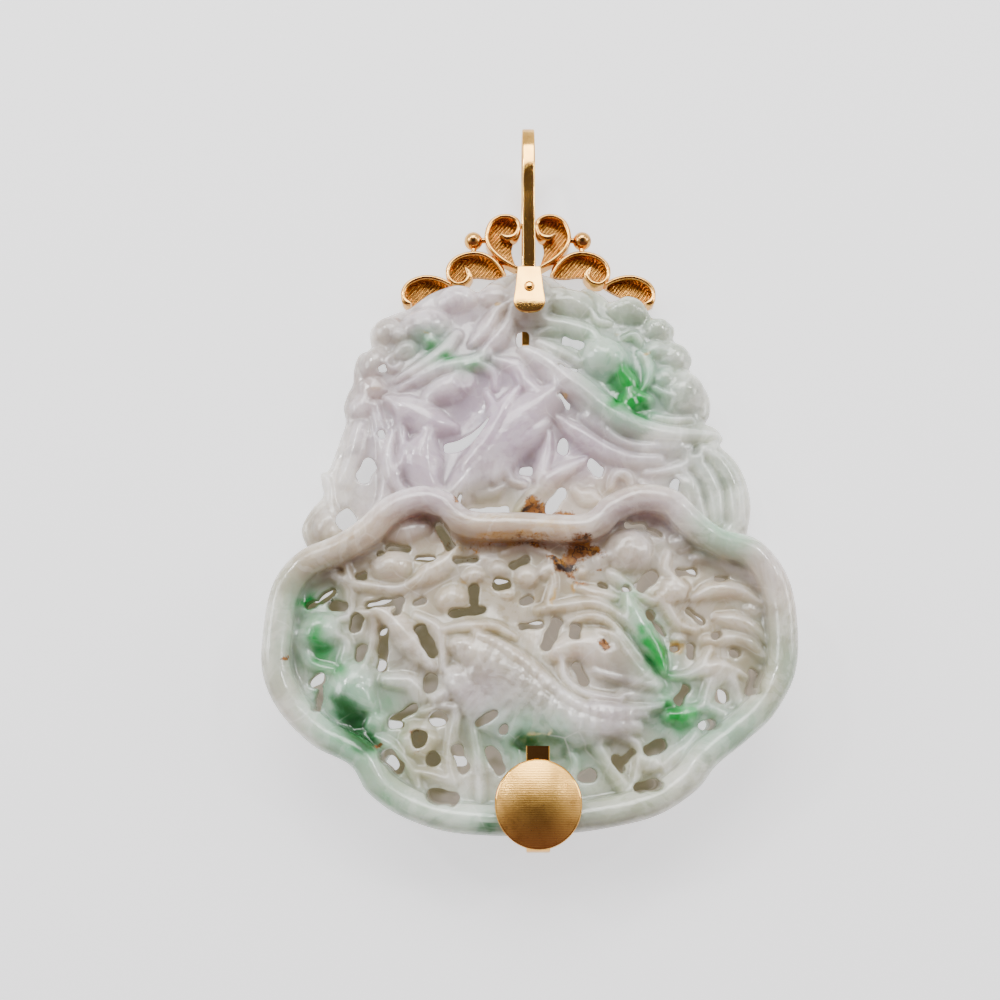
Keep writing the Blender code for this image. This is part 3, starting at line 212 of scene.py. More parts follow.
# Carved ridges of the pouch's panel
panelRuns = [
    ("thread", 9.6, [(-3.0, 32.9, 0.3), (-0.8, 33.5, 0.45), (1.8, 32.7, 0.45), (3.6, 31.0, 0.4)]),
    ("thread", 9.7, [(2.0, 31.9, 0.4), (2.5, 29.6, 0.5), (2.1, 27.8, 0.6), (1.4, 26.3, 0.4)]),
    ("soft", 9.6, [(-27.0, 24.6, 0.6), (-25.6, 22.0, 0.8), (-24.6, 20.2, 0.7), (-22.2, 19.6, 0.5)]),
    ("soft", 9.5, [(-25.6, 29.6, 0.5), (-22.8, 30.2, 0.7), (-20.8, 28.8, 0.7), (-20.6, 26.4, 0.5)]),
    ("round", 9.8, [(-21.3, 31.9, 0.4), (-20.2, 29.4, 0.6), (-18.2, 28.9, 0.6), (-15.0, 28.6, 0.6),
                    (-13.2, 29.6, 0.5)]),
    ("round", 9.9, [(-21.6, 25.2, 0.4), (-18.2, 25.8, 0.5), (-17.8, 23.0, 0.5), (-18.4, 20.2, 0.5)]),
    ("soft", 9.5, [(-21.5, 23.3, 0.5), (-20.6, 22.5, 0.6), (-21.0, 20.6, 0.6)]),
    ("leaf", 10.4, [(-8.7, 33.6, 0.4), (-9.4, 31.9, 1.0), (-11.4, 30.5, 1.3), (-13.4, 29.3, 0.5)]),
    ("strands", 10.9, [(-18.4, 27.0, 0.4), (-15.8, 25.2, 1.2), (-13.4, 22.6, 1.7),
                       (-11.0, 19.7, 0.5)]),
    ("leaf", 11.0, [(-15.2, 24.6, 0.3), (-13.6, 22.3, 0.8), (-12.0, 20.6, 0.3)]),
    ("round", 10.0, [(-13.0, 25.6, 0.4), (-10.6, 24.2, 0.6), (-10.0, 22.0, 0.5), (-9.9, 19.6, 0.5)]),
    ("soft", 9.9, [(-16.2, 18.4, 0.8), (-13.4, 18.0, 1.1), (-12.6, 16.2, 0.8)]),
    ("soft", 9.8, [(-10.6, 16.4, 0.8), (-8.6, 17.2, 1.0), (-6.4, 16.2, 0.7)]),
    ("round", 9.8, [(-12.3, 15.0, 0.4), (-8.7, 15.4, 0.5), (-8.8, 12.6, 0.6), (-9.2, 9.6, 0.5),
                    (-8.6, 7.6, 0.5)]),
    ("round", 9.8, [(-6.9, 14.2, 0.4), (-6.3, 11.8, 0.6), (-5.9, 9.0, 0.6), (-5.6, 6.0, 0.6)]),
    ("round", 9.7, [(-12.5, 8.7, 0.4), (-10.6, 8.2, 0.6), (-8.5, 7.4, 0.5)]),
    ("round", 9.6, [(-18.8, 12.6, 0.5), (-16.0, 11.7, 0.6), (-13.6, 9.4, 0.6), (-12.0, 6.4, 0.5)]),
    ("soft", 9.6, [(-13.2, 4.9, 0.5), (-9.6, 4.3, 0.7), (-6.2, 4.6, 0.6)]),
    ("round", 9.6, [(-2.9, 11.6, 0.4), (-1.6, 10.2, 0.6), (-1.9, 8.0, 0.5)]),
    ("round", 9.7, [(3.8, 10.8, 0.4), (4.6, 9.4, 0.5), (3.8, 7.4, 0.5)]),
    ("round", 10.3, [(6.2, 12.4, 0.7), (9.0, 8.2, 0.8), (11.0, 5.4, 0.8)]),
    ("round", 10.2, [(7.6, 12.8, 0.5), (11.2, 11.6, 0.6), (11.3, 9.2, 0.6), (10.8, 7.0, 0.5)]),
    ("soft", 9.7, [(14.8, 7.9, 0.5), (14.6, 9.6, 0.8), (16.4, 11.0, 0.7), (17.8, 12.6, 0.5)]),
    ("thread", 9.9, [(12.8, 9.0, 0.3), (14.4, 9.5, 0.4), (15.8, 11.0, 0.3)]),
    ("soft", 10.0, [(9.8, 16.9, 0.6), (12.4, 16.4, 0.9), (14.8, 16.3, 0.7)]),
    ("round", 10.1, [(15.3, 18.8, 0.35), (17.2, 19.0, 0.5), (18.6, 20.0, 0.5), (19.8, 21.8, 0.4)]),
    ("leaf", 10.2, [(18.2, 19.2, 0.4), (20.4, 19.8, 1.0), (22.6, 19.4, 0.6), (24.0, 18.6, 0.3)]),
    ("soft", 9.8, [(18.8, 15.6, 0.6), (20.0, 18.2, 0.8), (22.0, 18.6, 0.6), (22.8, 16.0, 0.6)]),
    ("soft", 9.7, [(16.9, 15.2, 0.4), (19.4, 15.4, 0.6), (22.0, 14.0, 0.6), (21.4, 12.6, 0.4)]),
    ("soft", 9.8, [(25.6, 21.0, 0.6), (24.0, 22.6, 0.8), (21.4, 23.0, 0.8), (19.2, 22.8, 0.5)]),
    ("leaf", 10.0, [(20.6, 25.4, 0.4), (22.6, 25.0, 1.0), (24.6, 24.2, 0.9), (26.2, 22.6, 0.4)]),
    ("leaf", 10.1, [(18.2, 27.6, 0.4), (20.4, 28.4, 1.1), (23.2, 28.3, 0.9), (25.6, 27.0, 0.4)]),
    ("soft", 9.6, [(18.6, 32.3, 0.5), (21.6, 31.8, 0.8), (24.6, 30.4, 0.8), (26.6, 28.2, 0.5)]),
    ("round", 9.9, [(15.6, 32.8, 0.4), (15.2, 31.0, 0.6), (16.0, 29.9, 0.5)]),
    ("round", 10.0, [(8.8, 30.4, 0.5), (9.6, 29.8, 0.7), (12.0, 28.0, 0.6), (13.8, 27.2, 0.4)]),
    ("soft", 9.9, [(14.2, 28.0, 0.4), (15.2, 26.4, 0.7), (16.4, 24.6, 0.6), (18.2, 24.0, 0.4)]),
    ("soft", 9.8, [(6.2, 28.4, 0.7), (8.2, 27.9, 0.8), (9.4, 27.6, 0.4)]),
    ("round", 10.1, [(0.6, 26.3, 0.4), (3.2, 26.6, 0.6), (6.4, 27.0, 0.7), (8.8, 26.2, 0.6),
                     (11.2, 23.9, 0.5), (13.4, 21.0, 0.4)]),
    # The beast's head, and the crest behind its eye
    ("soft", 10.9, [(2.6, 21.6, 1.2), (5.4, 22.2, 1.9), (8.6, 21.2, 2.4), (11.4, 19.0, 1.9),
                    (13.6, 17.8, 0.9)]),
    ("thread", 11.2, [(4.0, 24.9, 0.4), (6.4, 25.5, 0.5), (8.4, 24.9, 0.5), (10.2, 23.0, 0.4),
                      (12.0, 20.6, 0.3)]),
    ("thread", 11.3, [(7.2, 23.9, 0.3), (8.9, 23.3, 0.45), (10.2, 21.6, 0.4), (11.6, 19.6, 0.3)]),
    ("thread", 11.2, [(6.6, 19.4, 0.3), (8.9, 18.6, 0.45), (11.6, 18.0, 0.4), (13.6, 17.4, 0.3)]),
    ("thread", 11.1, [(3.2, 20.6, 0.4), (3.6, 18.6, 0.5), (5.8, 17.0, 0.5), (9.6, 16.3, 0.4)]),
    # The body, its ribbed back and the tail to the right
    ("scaled", 10.9, [(-8.4, 18.6, 1.6), (-5.2, 16.4, 3.0), (-1.0, 13.9, 2.8), (3.6, 12.9, 2.1),
                      (7.6, 12.9, 1.3)]),
    ("scaled", 11.3, [(-8.2, 22.2, 1.2), (-5.0, 20.6, 2.8), (-1.4, 17.8, 2.9), (2.4, 15.0, 2.2),
                      (6.8, 13.6, 1.5), (11.4, 13.4, 0.8)]),
    ("beaded", 11.4, [(-6.4, 23.6, 0.5), (-3.4, 22.2, 0.7), (-0.2, 20.0, 0.75), (2.6, 17.4, 0.75),
                      (5.6, 15.6, 0.7), (9.0, 14.7, 0.6), (12.4, 14.5, 0.4)]),
    ("round", 11.2, [(-9.9, 24.0, 0.35), (-7.4, 24.4, 0.6), (-4.2, 24.3, 0.6), (-1.9, 23.2, 0.35)]),
    ("round", 10.9, [(6.2, 15.9, 0.4), (9.2, 15.4, 0.6), (12.2, 15.3, 0.5), (14.2, 15.6, 0.3)]),
    ("leaf", 11.2, [(10.5, 28.0, 0.4), (11.2, 25.9, 1.3), (12.5, 23.4, 1.45), (13.9, 21.0, 1.0),
                    (14.5, 19.2, 0.4)])]

panelBosses = [
    (-23.7, 23.8, 10.4, 2.4, 2.1, 0, 0, 0), (-24.0, 24.6, 10.6, 0.9, 0.7, 20, 0, 0),
    (-20.0, 17.2, 10.7, 3.6, 2.7, 68, 0, 0), (-18.2, 16.2, 10.6, 1.9, 1.0, -60, 0, 0),
    (-15.9, 31.2, 10.6, 2.3, 1.9, 0, 0, 0), (-16.1, 31.3, 10.8, 1.0, 0.9, 0, 0, 0),
    (-14.2, 35.3, 9.9, 2.9, 1.3, 15, 0, 0), (-9.0, 27.5, 10.2, 1.9, 1.5, 20, 0, 0),
    (-3.8, 30.9, 10.0, 1.0, 0.9, 0, 0, 0), (-0.6, 30.0, 10.3, 1.4, 1.3, 0, 0, 0),
    (-2.8, 28.1, 9.8, 0.75, 0.65, 0, 0, 0), (5.6, 30.6, 10.0, 0.75, 0.65, 0, 0, 0),
    (5.6, 28.8, 9.6, 0.7, 0.5, 0, 0, 0), (11.1, 33.0, 10.9, 2.8, 2.6, 0, 0, 1.35),
    (11.1, 33.2, 11.2, 0.65, 0.6, 0, 0, 0), (16.1, 28.4, 10.3, 1.9, 1.6, 15, 6, 0),
    (16.0, 28.4, 10.6, 0.55, 0.5, 0, 0, 0), (16.7, 14.6, 10.8, 1.5, 1.3, 20, 5, 0),
    (15.0, 14.5, 10.2, 0.8, 0.9, 0, 0, 0), (12.5, 9.6, 10.3, 1.5, 1.1, 15, 0, 0),
    (-12.4, 12.1, 10.2, 2.2, 2.1, 0, 6, 0), (-17.2, 13.8, 9.9, 1.4, 1.0, 40, 0, 0),
    (-21.0, 13.3, 9.6, 1.3, 0.9, -40, 0, 0), (1.9, 11.0, 9.6, 1.5, 0.9, -20, 0, 0),
    (16.4, 23.0, 9.9, 0.8, 0.5, 10, 0, 0), (-26.6, 27.2, 9.4, 1.0, 1.6, 0, 0, 0),
    (-6.6, 30.2, 9.5, 1.3, 0.9, 10, 0, 0), (1.4, 30.6, 9.6, 0.7, 1.0, 0, 0, 0),
    (24.8, 26.2, 9.5, 1.1, 0.7, -20, 0, 0), (17.2, 33.8, 9.7, 1.4, 0.9, -30, 0, 0),
    (8.0, 32.0, 9.5, 0.9, 1.3, 10, 0, 0), (-11.0, 37.0, 9.4, 1.4, 0.8, -30, 0, 0)]

# Small hollows that don't go through: across, up, radius, depth
dimples = [
    (-8.0, 55.2, 1.0, 1.3), (-0.4, 44.9, 1.3, 1.4), (7.9, 22.05, 0.62, 0.8),
    (-8.4, 60.5, 0.22, 0.4), (-2.0, 35.0, 0.5, 0.4), (13.6, 62.6, 0.7, 0.7),
    (-11.6, 66.9, 0.45, 0.4), (8.6, 55.6, 0.7, 0.9), (20.4, 56.6, 0.5, 0.5),
    (-18.5, 59.4, 0.5, 0.6), (-6.6, 63.2, 0.6, 0.8), (2.6, 64.2, 0.5, 0.5)]


def smoothRun(points, closed=False, step=0.16):
    # A rounded line through the points, sampled about every step millimetres
    p = np.array(points, float)
    if closed:
        p = np.vstack([p[-1:], p, p[:2]])
    else:
        p = np.vstack([2 * p[:1] - p[1:2], p, 2 * p[-1:] - p[-2:-1]])
    parts = []
    for i in range(1, len(p) - 2):
        a, b, c, d = p[i - 1:i + 3]
        count = max(2, int(np.hypot(*(c - b)[:2]) / step))
        t = np.linspace(0, 1, count, endpoint=False)[:, None]
        parts.append(0.5 * (2 * b + (c - a) * t + (2 * a - 5 * b + 4 * c - d) * t ** 2
                            + (3 * b - a - 3 * c + d) * t ** 3))
    if not closed:
        parts.append(p[-2:-1])
    return np.vstack(parts)


def window(points, reach):
    # The part of the grid within reach of the points
    grid = stone["grid"]
    low = (np.min(points, 0) - reach - stone["low"]) / grid
    high = (np.max(points, 0) + reach - stone["low"]) / grid
    rows = slice(max(0, int(low[1])), min(len(ups), int(high[1]) + 2))
    columns = slice(max(0, int(low[0])), min(len(acrosses), int(high[0]) + 2))
    return rows, columns


def nearRun(run, part, closed=False):
    # For each point of the window: distance, signed side and length along the run, half width
    rows, columns = part
    x, v = np.meshgrid(acrosses[columns], ups[rows])
    shape = x.shape
    x = x.ravel()
    v = v.ravel()
    tangent = np.gradient(run[:, :2], axis=0)
    if closed:
        tangent = (np.roll(run[:, :2], -1, 0) - np.roll(run[:, :2], 1, 0)) / 2
    tangent /= np.hypot(tangent[:, 0], tangent[:, 1])[:, None] + 1e-9
    length = np.concatenate([[0], np.cumsum(np.hypot(*np.diff(run[:, :2], axis=0).T))])
    nearest = np.empty(len(x), int)
    for start in range(0, len(x), 20000):
        stop = start + 20000
        gap = (x[start:stop, None] - run[None, :, 0]) ** 2 + (v[start:stop, None] - run[None, :, 1]) ** 2
        nearest[start:stop] = gap.argmin(1)
    dx = x - run[nearest, 0]
    dv = v - run[nearest, 1]
    side = tangent[nearest, 0] * dv - tangent[nearest, 1] * dx
    ahead = tangent[nearest, 0] * dx + tangent[nearest, 1] * dv
    distance = np.abs(side)
    if not closed:
        ends = (nearest == 0) | (nearest == len(run) - 1)
        distance = np.where(ends, np.hypot(dx, dv), distance)
    return (distance.reshape(shape), side.reshape(shape), (length[nearest] + ahead).reshape(shape),
            run[nearest, 2].reshape(shape) if run.shape[1] > 2 else None)


def smoothMin(a, b, k):
    h = np.clip(0.5 + 0.5 * (b - a) / k, 0, 1)
    return b * (1 - h) + a * h - k * h * (1 - h)


def smoothMax(a, b, k):
    return -smoothMin(-a, -b, k)


def blur(values, passes):
    for _ in range(passes):
        p = np.pad(values, 1, mode="edge")
        values = (p[:-2] + 2 * p[1:-1] + p[2:])[:, 1:-1] / 4
        p = np.pad(values, 1, mode="edge")
        values = (p[:, :-2] + 2 * p[:, 1:-1] + p[:, 2:])[1:-1] / 4
    return values


def carveRun(relief, manner, top, points):
    # Raise a ridge, with a narrow channel cut round it
    settings = manners[manner]
    moat = settings.get("moat", 0.45)
    run = smoothRun(points)
    part = window(run[:, :2], run[:, 2].max() + moat)
    distance, side, along, half = nearRun(run, part)
    half = np.maximum(half, 0.15)
    q = distance / half
    here = relief[part]
    inner = np.clip(1 - q * q, 0, 1)
    crown = here + (top - here) * inner ** (0.75 - 0.4 * settings["fall"])
    fade = np.clip(1.15 - q, 0, 1)
    for place, wide, deep in settings.get("lines", []):
        crown -= deep * np.exp(-((side - place * half) / (wide * 0.5)) ** 2) * np.minimum(1, half / 0.8)
    if "ribs" in settings:
        pitch, deep, slant = settings["ribs"]
        wave = 0.5 - 0.5 * np.cos(math.tau * (along + slant * distance) / pitch)
        crown -= deep * (1 - wave) ** 2 * np.minimum(1, fade * 2)
    if "scales" in settings:
        pitch, deep = settings["scales"]
        row = np.floor(along / pitch)
        shift = np.where(row % 2 > 0.5, 0.5, 0.0)
        u = side / pitch + shift
        u -= np.floor(u) + 0.5
        t = along / pitch - row
        crown -= deep * np.clip(np.hypot(u * 1.6, t) - 0.35, 0, 1)
    ditch = settings.get("cut", 0.3) * np.clip(1 - (distance - half) / moat, 0, 1)
    relief[part] = np.where(q < 1, crown, here - ditch * (q >= 1))


def carveBoss(relief, across, up, top, long, wide, turn, petals, curl):
    # Raise a rounded boss, plain, lobed or with a spiral cut in it
    moat = 0.4
    part = window(np.array([(across, up)]), max(long, wide) + moat + 0.2)
    x, v = np.meshgrid(acrosses[part[1]] - across, ups[part[0]] - up)
    c, s = math.cos(math.radians(turn)), math.sin(math.radians(turn))
    a = (x * c + v * s) / long
    b = (v * c - x * s) / wide
    angle = np.arctan2(b, a)
    edge = 1.0
    if petals:
        edge = 0.86 + 0.14 * np.abs(np.cos(petals * angle / 2))
    q = np.hypot(a, b) / edge
    size = min(long, wide)
    here = relief[part]
    crown = here + (top - here) * np.clip(1 - q * q, 0, 1) ** 0.45
    if petals:
        crown -= 0.3 * (1 - np.abs(np.cos(petals * angle / 2))) ** 2 * np.clip(q * 2, 0, 1)
        crown -= 0.35 * np.exp(-((q - 0.38) / 0.1) ** 2)
    if curl:
        radius = np.hypot(x, v)
        wave = np.cos(angle + math.tau * radius / curl)
        crown -= 0.32 * np.clip(wave, 0, 1) ** 2 * np.clip(radius / 0.5, 0, 1)
    outside = (q - 1) * size
    ditch = 0.4 * np.clip(1 - outside / moat, 0, 1)
    relief[part] = np.where(q < 1, crown, here - ditch * (q >= 1))


def slotField(holes):
    # Positive inside the openings, by the distance to their edge
    field = np.full((len(ups), len(acrosses)), -3.0)
    for across, up, long, wide, turn in holes:
        part = window(np.array([(across, up)]), long / 2 + 2.6)
        x, v = np.meshgrid(acrosses[part[1]] - across, ups[part[0]] - up)
        c, s = math.cos(math.radians(turn)), math.sin(math.radians(turn))
        a = x * c + v * s
        b = v * c - x * s
        reach = max(0.0, (long - wide) / 2)
        waver = 0.07 * np.sin(3 * a + across) + 0.06 * np.sin(4 * b + up)
        inside = wide / 2 - np.hypot(a - np.clip(a, -reach, reach), b) + waver
        field[part] = smoothMax(field[part], inside, 0.12)
    return field


def outlineField(points):
    # Positive inside a closed outline whose points run clockwise
    run = smoothRun(points, closed=True, step=0.45)
    part = (slice(0, len(ups)), slice(0, len(acrosses)))
    distance, side, _, _ = nearRun(run, part, closed=True)
    return np.where(side < 0, distance, -distance)


def surfaceNet(field, low, steps):
    # The surface where the field crosses zero: corners and four-sided faces
    inside = field > 0
    count = np.zeros(tuple(n - 1 for n in field.shape), np.int8)
    offsets = [(i, j, k) for i in (0, 1) for j in (0, 1) for k in (0, 1)]
    for i, j, k in offsets:
        count += inside[i:i + count.shape[0], j:j + count.shape[1], k:k + count.shape[2]]
    mixed = (count > 0) & (count < 8)
    cells = np.argwhere(mixed)
    number = np.full(mixed.shape, -1, np.int32)
    number[mixed] = np.arange(len(cells))
    total = np.zeros((len(cells), 3))
    crossings = np.zeros(len(cells))
    for axis in range(3):
        for i, j, k in offsets:
            if (i, j, k)[axis]:
                continue
            start = cells + (i, j, k)
            stop = start.copy()
            stop[:, axis] += 1
            a = field[tuple(start.T)]
            b = field[tuple(stop.T)]
            cut = (a > 0) != (b > 0)
            t = np.where(cut, a / np.where(cut, a - b, 1), 0)
            point = np.array((i, j, k), float) + np.eye(3)[axis] * t[:, None]
            total += np.where(cut[:, None], point, 0)
            crossings += cut
    corners = (cells + total / crossings[:, None]) * steps + low
    faces = []
    for axis in range(3):
        span = [slice(1, -1)] * 3
        span[axis] = slice(0, -1)
        nextSpan = list(span)
        nextSpan[axis] = slice(1, None)
        a = inside[tuple(span)]
        b = inside[tuple(nextSpan)]
        where = np.argwhere(a != b)
        where += [0 if n == axis else 1 for n in range(3)]
        outward = inside[tuple(where.T)]
        first, second = [n for n in range(3) if n != axis]
        quad = []
        for di, dj in ((0, 0), (1, 0), (1, 1), (0, 1)):
            at = where.copy()
            at[:, first] -= di
            at[:, second] -= dj
            quad.append(number[tuple(at.T)])
        quad = np.stack(quad, 1)
        if axis == 1:
            outward = ~outward
        faces.append(np.where(outward[:, None], quad[:, ::-1], quad))
    return corners, np.vstack(faces)


acrosses = np.arange(stone["low"][0], stone["high"][0], stone["grid"])
ups = np.arange(stone["low"][1], stone["high"][1], stone["grid"])


def reliefs():
    # Heights of the plaque and of the pouch's panel above the flat back
    x, v = np.meshgrid(acrosses, ups)
    drift = 0.12 * np.sin(0.9 * x + 0.4 * v) + 0.1 * np.sin(0.5 * x - 1.1 * v + 1.0)
    plaque = stone["plaqueGround"] + drift
    for row in plaqueBosses:
        carveBoss(plaque, *row)
    for manner, top, points in plaqueRuns:
        carveRun(plaque, manner, top, points)
    panel = stone["panelGround"] + drift
    for manner, top, points in panelRuns:
        carveRun(panel, manner, top, points)
    for row in panelBosses:
        carveBoss(panel, *row)
    for across, up, radius, deep in dimples:
        part = window(np.array([(across, up)]), 2 * radius)
        a, b = np.meshgrid(acrosses[part[1]] - across, ups[part[0]] - up)
        bowl = deep * np.exp(-((np.hypot(a, b) / radius) ** 4))
        plaque[part] -= bowl
        panel[part] -= bowl
    return [soften(relief, share) for relief, share in zip((plaque, panel), stone["crispness"])]


def soften(relief, share):
    # The fine relief lowered over its broad forms; gives the relief and the broad forms
    broad = blur(relief, stone["broad"])
    return blur(broad + share * (relief - broad), stone["polish"]), broad


def slopeShare(relief):
    # How much nearer the surface is than straight up
    down, along = np.gradient(relief, stone["grid"])
    return 1 / np.sqrt(1 + np.minimum(down ** 2 + along ** 2, 6))


def flared(openings, below):
    # The openings as they widen behind, where the carver's drill leaned
    if below <= 0:
        return openings
    widened = openings
    for share in (0.25, 0.5, 0.75, 1.0):
        reach = share * below / stone["drillHigh"] / stone["grid"]
        across, up = stone["drillFrom"]
        rows = np.round(np.arange(len(ups)) - reach * (ups - up)).astype(int)
        columns = np.round(np.arange(len(acrosses)) - reach * (acrosses - across)).astype(int)
        rows = np.clip(rows, 0, len(ups) - 1)
        columns = np.clip(columns, 0, len(acrosses) - 1)
        widened = np.maximum(widened, openings[rows][:, columns])
    return widened


def stoneField(plaque, panel):
    plaqueShare = slopeShare(plaque)
    panelShare = slopeShare(panel)
    pouchEdge = outlineField(pouchOutline)
    plaqueEdge = outlineField(plaqueOutline)
    front = slotField(panelHoles)
    back = slotField(backHoles)
    through = slotField(plaqueHoles)
    run = smoothRun(crescent)
    part = window(run[:, :2], 2.0)
    distance, _, _, half = nearRun(run, part)
    through[part] = np.maximum(through[part], half - distance)
    x, v = np.meshgrid(acrosses, ups)
    wallBack = stone["backWall"] + 0.18 * np.sin(1.3 * x + 0.7 * v) + 0.15 * np.sin(1.7 * v - 0.6 * x)
    depths = np.arange(stone["deepest"], stone["highest"], stone["layer"])
    field = np.empty((len(ups), len(acrosses), len(depths)), np.float32)
    for level, z in enumerate(depths):
        low = max(0.0, stone["footHigh"] - z)
        tuck = stone["footRound"] - math.sqrt(max(0.0, stone["footRound"] ** 2 - low ** 2))
        pouch = smoothMin((panel - z) * panelShare, pouchEdge - tuck, stone["panelEdge"])
        over = max(0.0, z - stone["rimTop"] + stone["rimHalf"])
        rim = stone["rimHalf"] - np.hypot(pouchEdge - stone["rimInset"], over)
        if z > 4.0:
            pouch = smoothMax(pouch, rim, 0.6)
        upper = smoothMin((plaque - z) * plaqueShare, plaqueEdge - 0.3 * tuck, stone["plaqueEdge"])
        solid = smoothMax(pouch, upper, 0.25)
        cavity = smoothMin(np.minimum(z - wallBack, stone["cavityTop"] - z),
                           pouchEdge - stone["sideWall"], 0.8)
        solid = smoothMin(solid, -cavity, 0.25)
        solid = smoothMin(solid, -smoothMin(front, z - stone["backWall"] - 0.5, 0.2), 0.3)
        solid = smoothMin(solid, -smoothMin(back, stone["backWall"] + 0.8 - z, 0.2), 0.3)
        solid = smoothMin(solid, -flared(through, 5.2 - z), 0.3)
        field[:, :, level] = smoothMin(solid, z + 0 * solid, 0.12)
    return fitSeats(field, depths), depths


# Room cut for the gold, from a low corner to a high one, or up to a height and a depth
seats = {
    "tongue": ((-2.15, 62.75, 7.0), (2.15, 90, 20)), "strap": ((-0.95, 61.2, -9), (0.95, 90, 1.05)),
    "clipGap": 0.15, "clipFront": (11.5, 11.35), "clipBack": (8.2, 1.1),
    "post": 0.95, "postFrom": 7.2, "galleryEdge": 68.6, "galleryHigh": 3.45}


def fitSeats(field, depths):
    # Room for the gold: the tongue, the strap, the gallery, the clip and the button's post
    x = acrosses[None, :, None]
    v = ups[:, None, None]
    z = depths[None, None, :]

    def block(low, high):
        gap = np.minimum(x - low[0], high[0] - x)
        gap = np.minimum(gap, np.minimum(v - low[1], high[1] - v))
        return np.minimum(gap, np.minimum(z - low[2], high[2] - z))

    foot = button["across"]
    half = clip["wide"] / 2 + seats["clipGap"]
    frontUp, frontDepth = seats["clipFront"]
    edge = seats["galleryEdge"] - 0.00028 * np.abs(x) ** 3.1 - 0.012 * np.abs(x) ** 2
    post = seats["post"] - np.hypot(x - foot, v - button["up"])
    for seat in (block(*seats["tongue"]), block(*seats["strap"]),
                 block((foot - half, -9, frontDepth), (foot + half, frontUp, 20)),
                 block((foot - half, -9, -9), (foot + half, *seats["clipBack"])),
                 np.minimum(post, z - seats["postFrom"]),
                 np.minimum(v - edge, seats["galleryHigh"] - z)):
        field = np.minimum(field, -seat)
    return field


def fieldNormals(field, low, points):
    # The stone's true slope at its corners, which keeps the thinned surface smooth
    steps = np.array([stone["grid"], stone["grid"], stone["layer"]])
    places = (points - low) / steps
    limit = np.array(field.shape) - 2

    def sample(at):
        at = np.clip(at, 0, limit)
        base = at.astype(int)
        share = at - base
        total = np.zeros(len(at))
        for i in (0, 1):
            for j in (0, 1):
                for k in (0, 1):
                    weight = np.abs(1 - i - share[:, 0]) * np.abs(1 - j - share[:, 1])
                    weight *= np.abs(1 - k - share[:, 2])
                    total += weight * field[base[:, 0] + i, base[:, 1] + j, base[:, 2] + k]
        return total

    slope = np.stack([(sample(places - offset) - sample(places + offset)) / step
                      for offset, step in zip(np.eye(3) * 0.75, steps)], 1)
    slope = slope[:, [1, 0, 2]]
    return slope / (np.linalg.norm(slope, axis=1)[:, None] + 1e-9)


def netMesh(name, points, faces):
    # A mesh from places in millimetres and four-sided faces
    mesh = bpy.data.meshes.new(name)
    mesh.vertices.add(len(points))
    mesh.vertices.foreach_set("co", (points * mm).ravel())
    mesh.loops.add(faces.size)
    mesh.loops.foreach_set("vertex_index", faces.ravel())
    mesh.polygons.add(len(faces))
    mesh.polygons.foreach_set("loop_start", np.arange(0, faces.size, 4))
    mesh.polygons.foreach_set("loop_total", np.full(len(faces), 4))
    mesh.update(calc_edges=True)
    return mesh


def thinned(item, count):
    # Bring the object's mesh down to about this many triangles
    mesh = item.data
    thin = item.modifiers.new("thin", "DECIMATE")
    thin.ratio = min(1.0, count / (2 * len(mesh.polygons)))
    graph = bpy.context.evaluated_depsgraph_get()
    item.data = bpy.data.meshes.new_from_object(item.evaluated_get(graph))
    item.modifiers.clear()
    bpy.data.meshes.remove(mesh)
    item.data.shade_smooth()
    return item.data


def jadeObject():
    (plaque, plaqueBroad), (panel, panelBroad) = reliefs()
    field, depths = stoneField(plaque, panel)
    print("stone field", field.shape)
    low = np.array([ups[0], acrosses[0], depths[0]])
    corners, faces = surfaceNet(field, low, np.array([stone["grid"], stone["grid"], stone["layer"]]))
    points = np.stack([corners[:, 1], corners[:, 0] - middleUp, np.maximum(corners[:, 2], 0.01)], 1)
    item = bpy.data.objects.new("jadeStone", netMesh("jadeStone", points, faces))
    bpy.context.scene.collection.objects.link(item)
    kept = thinned(item, stone["keptTriangles"])
    places = np.empty(len(kept.vertices) * 3)
    kept.vertices.foreach_get("co", places)
    places = places.reshape(-1, 3) / mm
    places[:, 1] += middleUp
    normals = fieldNormals(field, low, places[:, [1, 0, 2]])
    kept.normals_split_custom_set_from_vertices(normals.tolist())
    paintTones(kept, places, plaqueBroad, panelBroad)
    print("stone kept", len(kept.polygons), "triangles")
    return item


